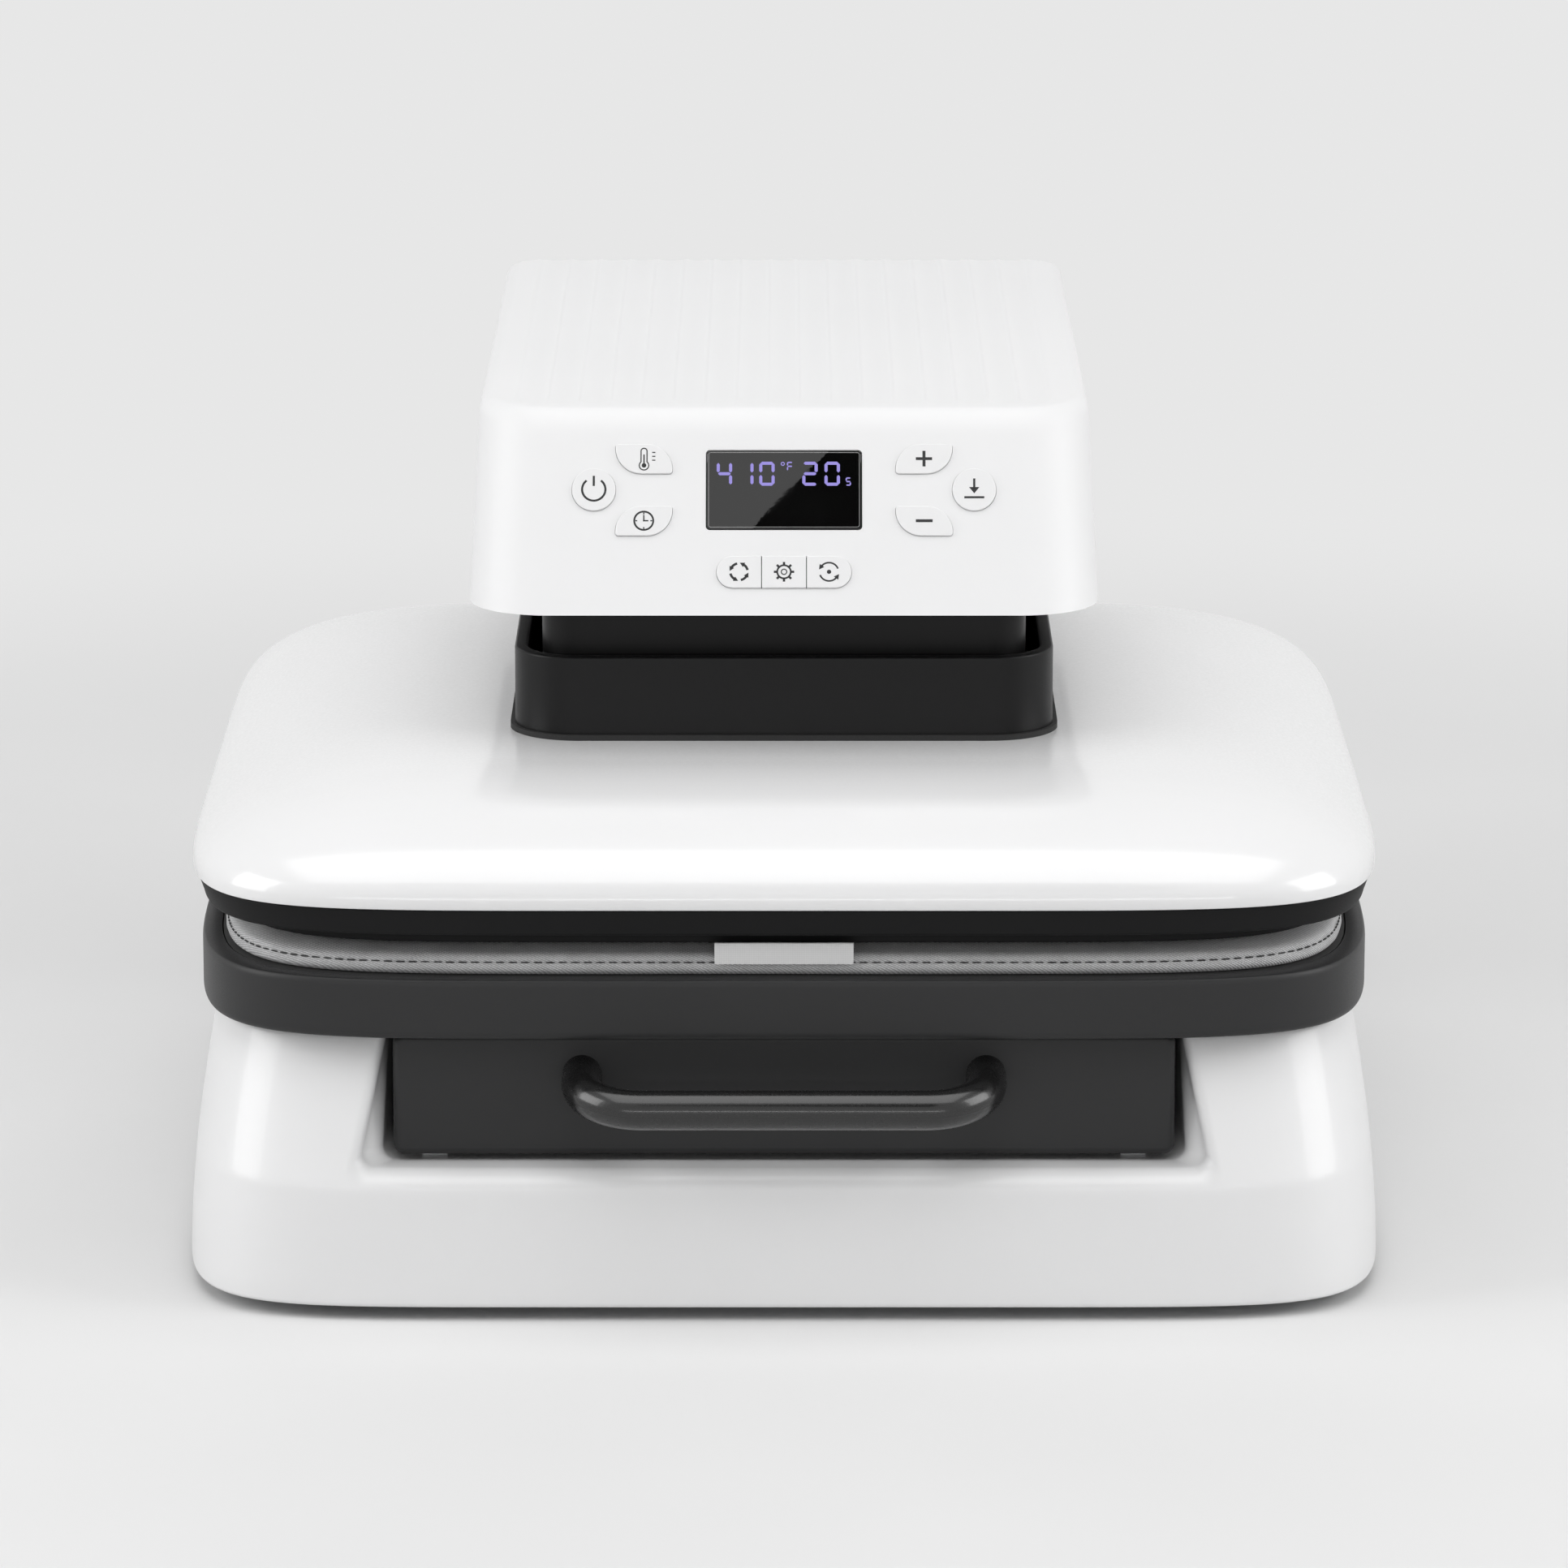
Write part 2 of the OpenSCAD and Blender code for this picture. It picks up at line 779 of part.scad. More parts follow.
module head_pan() {
    z1 = head_z0 + pan_t;
    front = head_y0 + tan(panel_lean) * pan_t + head_wall / cos(panel_lean) + slip;
    side = head_a - head_draft * pan_t / head_h - head_wall - slip;
    rear = head_y1 - head_wall - slip;
    color(white)
        placed()
            difference() {
                translate([0, (front + rear) / 2, 0])
                    soft_block(2 * side, rear - front, head_rear_corner - head_wall, head_z0, z1);
                for (x = [-1, 1])
                    translate([x * side, front, head_z0])
                        pan_corner(x);
                soft_block(collar_w, collar_d, collar_r, head_z0 - over, z1 + over, pan_gap);
                arm_way(head_z0 - over, z1 + over);
            }
}

// Cuts a front corner of the pan to the round of the head
module pan_corner(x) {
    r = head_r - head_wall;
    translate([0, 0, -over])
        linear_extrude(pan_t + 2 * over)
            difference() {
                translate([x > 0 ? -r : -over, -over])
                    square([r + over, r + over]);
                translate([-x * r, r])
                    circle(r);
            }
}

module head_frame() {
    color(steel)
        placed()
            difference() {
                block([-frame_a, frame_y0, frame_z0], [frame_a, arm_y1, frame_z1]);
                at_posts()
                    rod(bush_d + 2 * fit, frame_z0 - over, frame_z1 + over);
                rod(bearing_d + 2 * fit, frame_z0 - over, frame_z1 + over);
                at_arm_screws()
                    rod(screw_shank_d + 2 * fit, frame_z0 - over, frame_z1 + over);
            }
}

module inner_shroud() {
    flange_w = 8;
    flange_z0 = frame_z0 - shroud_wall;
    color(charcoal)
        placed()
            difference() {
                soft_block(shroud_w, shroud_d, shroud_r, shroud_z0, frame_z0);
                soft_block(shroud_w, shroud_d, shroud_r, shroud_z0 - over, flange_z0, -shroud_wall);
                soft_block(shroud_w, shroud_d, shroud_r, flange_z0 - over, frame_z0 + over, -flange_w);
            }
}

// Lift

bush_d = 20;
bush_flange_d = 28;
bush_flange_t = 4;
bush_drop = 10;
bearing_d = 28;
journal_d = 10;
journal_l = 20;

module guide_bushes() {
    color(brass)
        placed()
            at_posts()
                difference() {
                    union() {
                        rod(bush_d, frame_z0 - bush_drop, frame_z1);
                        rod(bush_flange_d, frame_z1, frame_z1 + bush_flange_t);
                    }
                    rod(post_d + 2 * fit, frame_z0 - bush_drop - over, frame_z1 + bush_flange_t + over);
                }
}

module thrust_bearing() {
    color(steel)
        placed()
            difference() {
                rod(bearing_d, frame_z0, frame_z1);
                rod(journal_d + 2 * fit, frame_z0 - over, frame_z1 + over);
            }
}

gearbox_x = post_x - bush_flange_d / 2 - 8;
gearbox_y = post_y - bush_flange_d / 2 - 8;
gearbox_h = 34;
motor_d = 34;
motor_l = 68;
motor_boss_d = 10;
motor_boss_l = 6;

module gear_motor() {
    color("#6d7278")
        placed()
            difference() {
                union() {
                    block([-gearbox_x, -gearbox_y, frame_z1], [gearbox_x, gearbox_y, frame_z1 + gearbox_h]);
                    translate([0, gearbox_y - over, frame_z1 + gearbox_h / 2])
                        rotate([-90, 0, 0]) {
                            cylinder(d = motor_d, h = motor_l + over);
                            cylinder(d = motor_boss_d, h = motor_l + motor_boss_l);
                        }
                }
                rod(journal_d + 2 * fit, frame_z1 - over, frame_z1 + journal_l + slip);
            }
}

module lead_screw() {
    color(steel)
        placed() {
            rod(screw_d, screw_z0, frame_z0 - slip);
            rod(journal_d, frame_z0 - slip - over, frame_z1 + journal_l);
        }
}

nut_wall = 6;
nut_flange_w = 6;
nut_flange_t = 5;

module lead_nut() {
    d = screw_d + 2 * nut_wall;
    color(brass)
        placed()
            difference() {
                union() {
                    rod(d, nut_z0 + nut_flange_t - over, nut_z0 + nut_h);
                    rod(d + 2 * nut_flange_w, nut_z0, nut_z0 + nut_flange_t);
                }
                rod(screw_d + 2 * fit, nut_z0 - over, nut_z0 + nut_h + over);
            }
}

tower_gap = 4;
tower_wall = 7;
tower_foot_w = 11;
tower_foot_t = 5;

module nut_tower() {
    bore = screw_d + 2 * tower_gap;
    d = bore + 2 * tower_wall;
    color(steel)
        placed()
            difference() {
                union() {
                    rod(d + 2 * tower_foot_w, press_z1, press_z1 + tower_foot_t);
                    rod(d, press_z1, nut_z0);
                }
                rod(bore, press_z1 - over, nut_z0 + over);
            }
}

post_foot_w = 6;
post_foot_t = 5;

module guide_posts() {
    color(steel)
        placed()
            at_posts() {
                rod(post_d, press_z1, post_z1);
                rod(post_d + 2 * post_foot_w, press_z1, press_z1 + post_foot_t);
            }
}

// Platen

cover_steps = [0, 0.2, 0.42, 0.62, 0.78, 0.9, 0.97, 1];
cover_lip_h = 2;

// Ring of the domed cover: u runs from the foot (0) to the flat top (1)
function cover_ring(u, wall) =
    let (drop = cover_h - wall - cover_lip_h,
         a = cover_a - wall - (cover_edge - wall) * (1 - sqrt(1 - u * u)))
    square_ring(a, -a, a, cover_z0 + cover_lip_h + drop * u);

module platen_cover() {
    inner_a = cover_a - cover_wall;
    inner = concat([for (i = [len(cover_steps) - 1 : -1 : 0]) cover_ring(cover_steps[i], cover_wall)],
                   [square_ring(inner_a, -inner_a, inner_a, cover_z0)]);
    outer = concat([square_ring(cover_a, -cover_a, cover_a, cover_z0)],
                   [for (u = cover_steps) cover_ring(u, 0)]);
    color(white)
        placed()
            difference() {
                skin(concat(inner, outer));
                soft_block(opening_w, opening_d, opening_r, cover_z1 - cover_wall - over, cover_z1 + over);
            }
}

module collar() {
    color(charcoal)
        placed() {
            difference() {
                union() {
                    soft_block(collar_w, collar_d, collar_r, cover_z1, collar_z1);
                    soft_block(opening_w, opening_d, opening_r, cover_z1 - spigot_h, cover_z1 + over, -slip);
                }
                soft_block(opening_w, opening_d, opening_r, cover_z1 - spigot_h - over, cover_z1 + over,
                           -slip - spigot_wall);
                soft_block(collar_w, collar_d, collar_r, cover_z1 + over, collar_z1 + over, -collar_wall);
            }
        }
}

gasket_h = 2;

module collar_gasket() {
    color(black)
        placed()
            difference() {
                soft_block(collar_w, collar_d, collar_r, cover_z1, cover_z1 + gasket_h, gasket_w);
                soft_block(collar_w, collar_d, collar_r, cover_z1 - over, cover_z1 + gasket_h + over, fit);
            }
}

module platen_rim() {
    color(charcoal)
        placed()
            difference() {
                union() {
                    skin([
                        for (p = [[0, 1], [0.1, 0.2], [0.25, 0], [0.9, 0], [1, 0.4]])
                            let (a = rim_a0 + rim_taper * p[0] - p[1])
                            square_ring(a, -a, a, rim_z0 + rim_h * p[0])
                    ]);
                    square_block(skirt_a, skirt_z0, rim_z0 + over);
                    square_block(upstand_a, cover_z0 - over, press_z0);
                }
                square_block(skirt_in, skirt_z0 - over, press_z0 + over);
            }
}

element_runs = 6;
element_inset = 65.5;
element_pitch = (plate_w - 2 * element_inset) / (element_runs - 1);
element_end = 75;
element_l = plate_w - 2 * element_end;

// Heating element: straight runs joined by half turns, as a round tube
module element_path(r) {
    translate([0, 0, plate_z1]) {
        for (i = [0 : element_runs - 1])
            translate([(i - (element_runs - 1) / 2) * element_pitch, element_l / 2, 0])
                rotate([90, 0, 0])
                    cylinder(r = r, h = element_l);
        for (i = [0 : element_runs - 2])
            translate([(i - element_runs / 2 + 1) * element_pitch, (i % 2 == 0 ? 1 : -1) * element_l / 2, 0])
                rotate([0, 0, i % 2 == 0 ? 0 : 180])
                    rotate_extrude(angle = 180)
                        translate([element_pitch / 2, 0])
                            circle(r);
    }
}

spacer_d = 14;
spacer_at = plate_a - 52.5;

module at_spacers() {
    for (x = [-1, 1], y = [-1, 1])
        translate([x * spacer_at, y * spacer_at, 0])
            children();
}

module heat_plate() {
    color(steel)
        placed()
            difference() {
                square_block(plate_a, plate_z0, plate_z1);
                element_path(element_r + fit);
            }
}

module heating_element() {
    color("#8b5a3c")
        placed()
            element_path(element_r);
}

thermostat_d = 18;
thermostat_y = 30;

module thermostat() {
    color(brass)
        placed()
            translate([0, thermostat_y, 0])
                rod(thermostat_d, plate_z1, press_z0 - slip);
}

module insulation() {
    color("#d8cfae")
        placed()
            difference() {
                square_block(plate_a, insul_z0, press_z0);
                at_spacers()
                    rod(spacer_d + 2, insul_z0 - over, press_z0 + over);
                translate([0, thermostat_y, 0])
                    rod(thermostat_d + 2, insul_z0 - over, press_z0 + over);
            }
}

module plate_spacers() {
    color(steel)
        placed()
            at_spacers()
                rod(spacer_d, plate_z1, press_z0);
}

module pressure_plate() {
    color(steel)
        placed()
            square_block(press_a, press_z0, press_z1);
}

// Drawer

module tray() {
    color(charcoal)
        placed()
            difference() {
                skin([
                    for (p = [[0, 1.4], [0.06, 0.3], [0.16, 0], [0.86, 0], [0.96, 0.3], [1, 1]])
                        let (a = tray_a - p[1])
                        square_ring(a, -a, a, tray_z0 + tray_h * p[0])
                ]);
                square_block(recess_a, pad_z0, tray_z1 + over);
                square_block(tray_a - tray_wall, tray_z0 - over, tray_floor_z);
            }
}

module silicone_pad() {
    color("#2b2b2d")
        placed()
            square_block(pad_a, pad_z0, mat_z0);
}

// Padded mat: rounded hem drawn in at a seam half way up, and a low crown
// Each point is a share of the mat's height and an inset, as a share of the hem's or of the mat's half width
mat_edge = 3;
mat_hem = [[0, 1], [0.1, 0.37], [0.28, 0], [0.44, 0.1], [0.5, 0.33], [0.56, 0.1], [0.7, 0.07], [0.84, 0.53],
           [0.92, 1.67]];
mat_crown = [[0.95, 0.08], [0.98, 0.22], [1, 0.53]];

module mat() {
    insets = concat([for (p = mat_hem) [p[0], p[1] * mat_edge]], [for (p = mat_crown) [p[0], p[1] * mat_a]]);
    color("#b9babc")
        placed()
            skin([
                for (p = insets)
                    let (a = mat_a - p[1])
                    square_ring(a, -a, a, mat_z0 + mat_t * p[0])
            ]);
}

tab_t = 1.2;

module mat_tab() {
    y = -mat_a - slip;
    seam_z = mat_z0 + mat_t / 2;
    color("white")
        placed()
            block([-tab_w / 2, y - tab_t, seam_z], [tab_w / 2, y, seam_z + tab_h]);
}

module drawer_front() {
    color(charcoal)
        placed()
            difference() {
                translate([0, drawer_y1, (drawer_z0 + drawer_z1) / 2])
                    rotate([90, 0, 0])
                        linear_extrude(drawer_t)
                            soft_rect(drawer_w, drawer_z1 - drawer_z0, drawer_r);
                at_handle_screws()
                    cylinder(d = screw_shank_d + 2 * fit, h = drawer_t + 2 * over, center = true);
            }
}

module drawer_carriage() {
    z0 = rail_z0 + rail_t + slip;
    color(steel)
        placed()
            difference() {
                block([-carriage_a, drawer_y1, z0], [carriage_a, carriage_y1, tray_floor_z]);
                block([-carriage_a + carriage_t, drawer_y1 + carriage_t, z0 - over],
                      [carriage_a - carriage_t, carriage_y1 - carriage_t, tray_floor_z - carriage_t]);
                // Room for the heads of the handle screws
                at_handle_screws()
                    cylinder(d = screw_head_d + 4, h = 4 * drawer_t, center = true);
            }
}

handle_leg = handle_run - handle_bend;
handle_x = (handle_w - handle_d) / 2;
handle_z = (drawer_z0 + drawer_z1) / 2 + 7.5;

module at_handle() {
    translate([0, drawer_y0, handle_z])
        rotate([handle_tilt, 0, 0])
            children();
}

module at_handle_screws() {
    for (x = [-handle_x, handle_x])
        translate([x, (drawer_y0 + drawer_y1) / 2, handle_z])
            rotate([90, 0, 0])
                children();
}

module handle() {
    color(black)
        placed()
            difference() {
                at_handle() {
                    both_sides() {
                        translate([handle_x, handle_d / 2, 0])
                            rotate([90, 0, 0])
                                cylinder(d = handle_d, h = handle_leg + handle_d / 2);
                        translate([handle_x - handle_bend, -handle_leg, 0])
                            rotate([0, 0, -90])
                                rotate_extrude(angle = 90)
                                    translate([handle_bend, 0])
                                        circle(d = handle_d);
                    }
                    translate([handle_bend - handle_x, -handle_run, 0])
                        rotate([0, 90, 0])
                            cylinder(d = handle_d, h = 2 * (handle_x - handle_bend));
                }
                block([-handle_w, drawer_y0, drawer_z0 - handle_w],
                      [handle_w, drawer_y0 + handle_w, drawer_z1 + handle_w]);
                at_handle_screws()
                    cylinder(d = screw_shank_d + 2 * fit, h = drawer_t / 2 + handle_grip + over);
            }
}

// Depth of the screw in the foot of the handle
handle_grip = 7;

module handle_screws() {
    color(steel)
        placed()
            at_handle_screws()
                translate([0, 0, -drawer_t / 2]) {
                    translate([0, 0, -screw_head_h])
                        cylinder(d = screw_head_d, h = screw_head_h);
                    translate([0, 0, -over])
                        cylinder(d = screw_shank_d, h = drawer_t + handle_grip + over);
                }
}

// Telescopic slides: three nested channels on each side, run front to back
rail_top = rail_z0 + rail_h;

module along_slide() {
    translate([0, rail_y0 + rail_l, 0])
        rotate([90, 0, 0])
            linear_extrude(rail_l)
                children();
}

// Channel from the web at x0 to the lips' ends at x1, inset from the outer channel's height
module channel(x0, x1, inset) {
    low = min(x0, x1);
    t = sign(x1 - x0) * rail_t;
    translate([low, rail_z0 + inset])
        square([abs(x1 - x0), rail_t]);
    translate([low, rail_top - inset - rail_t])
        square([abs(x1 - x0), rail_t]);
    translate([min(x0, x0 + t), rail_z0 + inset])
        square([rail_t, rail_h - 2 * inset]);
}

module outer_rails() {
    color(steel)
        placed()
            both_sides()
                along_slide() {
                    channel(outer_x1, outer_x1 - rail_lip - rail_t, 0);
                    translate([outer_x1 - rail_t, slot_z])
                        square([rail_t, rail_t + slip + over]);
                    translate([outer_x1 - rail_foot, slot_z])
                        square([rail_foot, rail_t]);
                }
}

module mid_rails() {
    color("#c3c7cb")
        placed()
            both_sides()
                along_slide()
                    channel(mid_x1, mid_x1 - rail_lip, rail_t + slip);
}

module inner_rails() {
    color(steel)
        placed()
            both_sides()
                along_slide()
                    channel(inner_x0, inner_x0 + rail_t + rail_lip, 2 * (rail_t + slip));
}

// Electrics

power_w = 110;
power_d = 86;
power_gap = 32;
power_stand = 6;
coil_size = [34, 30, 22];
sink_size = [4, 48, 24];
can_d = 16;
can_h = 20;

// Power board with a coil, a heat sink and two capacitors, on four posts
module power_board() {
    y1 = column_y0 - power_gap;
    y0 = y1 - power_d;
    top = frame_z1 + power_stand + board_t;
    color("#2f6b45")
        placed() {
            block([-power_w / 2, y0, frame_z1 + power_stand], [power_w / 2, y1, top]);
            for (x = [-1, 1], y = [y0 + power_stand, y1 - power_stand])
                translate([x * (power_w / 2 - power_stand), y, 0])
                    rod(power_stand, frame_z1, frame_z1 + power_stand);
            translate([-coil_size[0] - power_stand, y0 + 2 * power_stand, top])
                cube(coil_size);
            translate([2 * power_stand, y0 + 2 * power_stand, top])
                cube(sink_size);
            for (i = [1, 2.4])
                translate([power_w / 3, y0 + i * can_d, 0])
                    rod(can_d, top, top + can_h);
        }
}

module at_keys() {
    round_keys = [for (x = [-round_x, round_x]) [x, round_v]];
    leaf_keys = [for (x = [-leaf_x, leaf_x], v = [leaf_v0, leaf_v1]) [x, v]];
    pill_keys = [for (i = [-1, 0, 1]) [i * pill_third_w, pill_v]];
    for (p = concat(round_keys, leaf_keys, pill_keys))
        translate([p[0], p[1]])
            children();
}

module control_board() {
    color("#2f6b45")
        placed()
            on_panel() {
                translate([-board_w / 2, board_v - board_h / 2, -board_drop - board_t])
                    cube([board_w, board_h, board_t]);
                at_keys()
                    translate([-switch_w / 2, -switch_w / 2, -board_drop])
                        cube([switch_w, switch_w, switch_h]);
            }
}

module display_module() {
    color("#202124")
        placed()
            on_panel()
                translate([-display_w / 2 + 1, display_v - display_h / 2 + 1, -board_drop])
                    cube([display_w - 2, display_h - 2, board_drop - head_wall - window_lip_t - slip]);
}

module display_window() {
    color("black")
        placed()
            on_panel()
                translate([0, display_v, -head_wall]) {
                    soft_block(display_w, display_h, window_r, -window_lip_t / 2, head_wall + slip, -slip);
                    soft_block(display_w, display_h, window_r, -window_lip_t, 0, window_lip);
                }
}

// Keys

// Flat leaf: two opposite corners tight and two wide, grown by g, turned over when flip is -1
leaf_tip = 1.2;
leaf_edge = 0.5;

module leaf(flip, g) {
    w = leaf_w / 2 + g;
    h = leaf_h / 2 + g;
    tip = leaf_tip + g;
    wide = leaf_h - leaf_tip - leaf_edge + g;
    corners = [[-1, 1, tip, 180], [1, 1, wide, 90], [1, -1, tip, 0], [-1, -1, wide, 270]];
    polygon([
        for (c = corners, a = [0 : -10 : -90])
            [flip * (c[0] * (w - c[2]) + c[2] * cos(c[3] + a)), c[1] * (h - c[2]) + c[2] * sin(c[3] + a)]
    ]);
}

// Flat capsule of the row of three keys, grown by g
module pill(g) {
    x = (pill_w - pill_h) / 2;
    square([2 * x, pill_h + 2 * g], center = true);
    for (s = [-x, x])
        translate([s, 0])
            circle(d = pill_h + 2 * g);
}

module key_holes() {
    for (x = [-round_x, round_x])
        translate([x, round_v])
            circle(d = round_d + 2 * slip);
    for (p = [[-leaf_x, leaf_v1, 1], [-leaf_x, leaf_v0, -1], [leaf_x, leaf_v1, -1], [leaf_x, leaf_v0, 1]])
        translate([p[0], p[1]])
            leaf(p[2], slip);
    translate([0, pill_v])
        pill(slip);
}

// Key cap through the panel, a lip behind it and a stem towards its switch.
// Its children are the flat cap and the flat lip.
module key(x, v) {
    back = -head_wall - slip;
    color(white)
        placed()
            on_panel()
                translate([x, v, 0]) {
                    translate([0, 0, back - over / 2])
                        linear_extrude(key_proud - back + over / 2)
                            children(0);
                    translate([0, 0, back - key_flange_t])
                        linear_extrude(key_flange_t)
                            children(1);
                    translate([0, 0, -board_drop + switch_h + key_travel + slip])
                        cylinder(d = stem_d, h = back + board_drop - switch_h - key_travel - slip - over / 2);
                }
}

module round_key(x) {
    key(x, round_v) {
        circle(d = round_d);
        circle(d = round_d + 2 * key_flange);
    }
}

module leaf_key(x, v, flip) {
    key(x, v) {
        leaf(flip, 0);
        leaf(flip, key_flange);
    }
}

// One third of the row: side is -1, 0 or 1
module pill_key(side) {
    key(side * pill_third_w, pill_v) {
        pill_third(side, 0);
        pill_third(side, key_flange);
    }
}

module pill_third(side, g) {
    inner = pill_third_w / 2 - slip / 2;
    h = pill_h + 2 * g;
    end_x = pill_w / 2 - pill_third_w - pill_h / 2;
    if (side == 0)
        square([2 * inner, h], center = true);
    else
        mirror([side < 0 ? 1 : 0, 0]) {
            translate([-inner, -h / 2])
                square([inner + end_x, h]);
            translate([end_x, 0])
                intersection() {
                    circle(d = h);
                    translate([0, -h])
                        square([h, 2 * h]);
                }
        }
}

module power_key() { round_key(-round_x); }
module start_key() { round_key(round_x); }
module temperature_key() { leaf_key(-leaf_x, leaf_v1, 1); }
module timer_key() { leaf_key(-leaf_x, leaf_v0, -1); }
module plus_key() { leaf_key(leaf_x, leaf_v1, -1); }
module minus_key() { leaf_key(leaf_x, leaf_v0, 1); }
module cycle_key() { pill_key(-1); }
module settings_key() { pill_key(0); }
module auto_key() { pill_key(1); }

base_shell();
bottom_plate();
feet();
base_screws();
column_frame();
column_cover();
frame_screws();
head_frame();
head_pan();
head_cover();
inner_shroud();
guide_bushes();
thrust_bearing();
gear_motor();
power_board();
power_inlet();
inlet_pins();
control_board();
display_module();
display_window();
outer_rails();
platen_cover();
collar();
collar_gasket();
platen_rim();
heat_plate();
heating_element();
thermostat();
insulation();
plate_spacers();
pressure_plate();
guide_posts();
nut_tower();
lead_nut();
lead_screw();
tray();
silicone_pad();
mat();
mat_tab();
drawer_front();
drawer_carriage();
handle();
handle_screws();
inner_rails();
mid_rails();
power_key();
start_key();
temperature_key();
timer_key();
plus_key();
minus_key();
cycle_key();
settings_key();
auto_key();
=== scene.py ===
"""The automatic heat press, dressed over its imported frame.

Shapes are in millimetres in the platen's frame: x to the right, y from the platen's middle towards the rear,
z up from the floor. The function at() puts them in the frame's metres.
"""

import json
from math import asin, atan2, copysign, cos, degrees, dist, exp, pi, radians, sin, sqrt, tan

import bmesh
import bpy
import numpy as np
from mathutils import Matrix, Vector


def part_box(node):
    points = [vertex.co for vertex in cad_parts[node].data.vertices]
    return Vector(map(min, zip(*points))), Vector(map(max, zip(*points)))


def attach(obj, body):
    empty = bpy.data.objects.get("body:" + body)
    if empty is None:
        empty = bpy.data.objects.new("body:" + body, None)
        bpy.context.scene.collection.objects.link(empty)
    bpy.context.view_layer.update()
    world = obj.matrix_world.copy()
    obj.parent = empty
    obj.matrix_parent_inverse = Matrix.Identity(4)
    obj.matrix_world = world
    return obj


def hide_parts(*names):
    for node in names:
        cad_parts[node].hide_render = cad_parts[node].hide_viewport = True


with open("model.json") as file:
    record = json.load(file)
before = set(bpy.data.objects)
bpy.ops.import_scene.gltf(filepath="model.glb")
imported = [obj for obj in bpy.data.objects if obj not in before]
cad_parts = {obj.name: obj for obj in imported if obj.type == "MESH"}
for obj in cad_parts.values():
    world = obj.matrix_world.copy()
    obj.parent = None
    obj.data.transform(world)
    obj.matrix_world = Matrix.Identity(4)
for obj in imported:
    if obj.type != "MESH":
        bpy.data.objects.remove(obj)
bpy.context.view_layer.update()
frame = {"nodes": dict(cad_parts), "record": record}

MM = 0.001
PLATEN_Y = sum(corner[1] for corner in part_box("heat_plate")) / (2 * MM)


def extent(node):
    """Half width, front, rear, bottom and top of a CAD node, in millimetres of the platen's frame."""
    (_, y0, z0), (x1, y1, z1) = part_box(node)
    return x1 / MM, y0 / MM - PLATEN_Y, y1 / MM - PLATEN_Y, z0 / MM, z1 / MM


def at(x, y, z):
    """A point of the platen's frame as a point of the frame, in metres."""
    return (x * MM, (y + PLATEN_Y) * MM, z * MM)


# Lines and outlines

SQUARE_N, BASE_N = 7.0, 9.0  # exponents of the rounded squares: of cover, tray and mat, and of the base
RING, TRACE = 384, 40001     # points round a rounded square, and those from which it takes its even ones


def mix(a, b, t):
    """The number that lies t of the way from a to b."""
    return a + (b - a) * t


def shares_of(count):
    """Even shares up to 1, without 0."""
    return [i / count for i in range(1, count + 1)]


def arc(steps, start=0.0, end=90.0):
    """Angles in radians from start to end, both included."""
    return [radians(start + (end - start) * i / steps) for i in range(steps + 1)]


def arc_line(r, start, end, steps):
    return [(r * cos(a), r * sin(a)) for a in arc(steps, start, end)]


def circle(r, steps):
    return arc_line(r, 0, 360, steps)[:-1]


def moved(outline, x, y):
    return [(px + x, py + y) for px, py in outline]


def quarter(start, end, steps, upright=False):
    """Quarter of an ellipse between two points of a profile, which leaves the first one flat or upright."""
    points = []
    for a in arc(steps):
        across, up = (1 - cos(a), sin(a)) if upright else (sin(a), 1 - cos(a))
        points.append((mix(start[0], end[0], across), mix(start[1], end[1], up)))
    return points


def low_edge(a, z, aside, up, steps):
    """Rounded lower edge of a wall of half width a, from its foot at z."""
    return quarter((a - aside, z), (a, z + up), steps)


def high_edge(a, z, aside, down, steps):
    """Rounded upper edge of a wall of half width a, to its top at z."""
    return quarter((a, z - down), (a - aside, z), steps, upright=True)


def round_in(u):
    """Share of a radius that a rounded edge has drawn in, u of the way up it."""
    return 1 - sqrt(max(0.0, 1 - u * u))


def run_lengths(x, y):
    """Length along a line at each of its points."""
    return np.concatenate([[0], np.cumsum(np.hypot(np.diff(x), np.diff(y)))])


def unit_square_ring(count, power=SQUARE_N):
    """Evenly spaced points of a rounded square of half width 1, from the middle of the front towards +x."""
    angle = np.linspace(-pi / 2, 1.5 * pi, TRACE)
    c, s = np.cos(angle), np.sin(angle)
    x = np.sign(c) * np.abs(c) ** (2 / power)
    y = np.sign(s) * np.abs(s) ** (2 / power)
    along = run_lengths(x, y)
    even = np.linspace(0, along[-1], count, endpoint=False)
    return np.column_stack([np.interp(even, along, x), np.interp(even, along, y)])


UNIT = unit_square_ring(RING)
BASE_UNIT = unit_square_ring(RING, BASE_N)


def square_ring(a, z, mid=0.0, b=None, unit=UNIT):
    """Rounded square of half width a across and b along, at height z."""
    b = a if b is None else b
    return [(a * x, mid + b * y, z) for x, y in unit]


def square_rings(profile):
    return [square_ring(a, z) for a, z in profile]


def corner_outline(half_w, half_h, radii, steps):
    """Anticlockwise outline of a rectangle with four corner radii, from its lower right corner on."""
    points = []
    for sx, sy, r, start in zip((1, 1, -1, -1), (-1, 1, 1, -1), radii, (-90, 0, 90, 180)):
        points += moved(arc_line(r, start, start + 90, steps), sx * (half_w - r), sy * (half_h - r))
    return points


def rect_outline(half_w, half_h, radius, steps):
    return corner_outline(half_w, half_h, (radius,) * 4, steps)


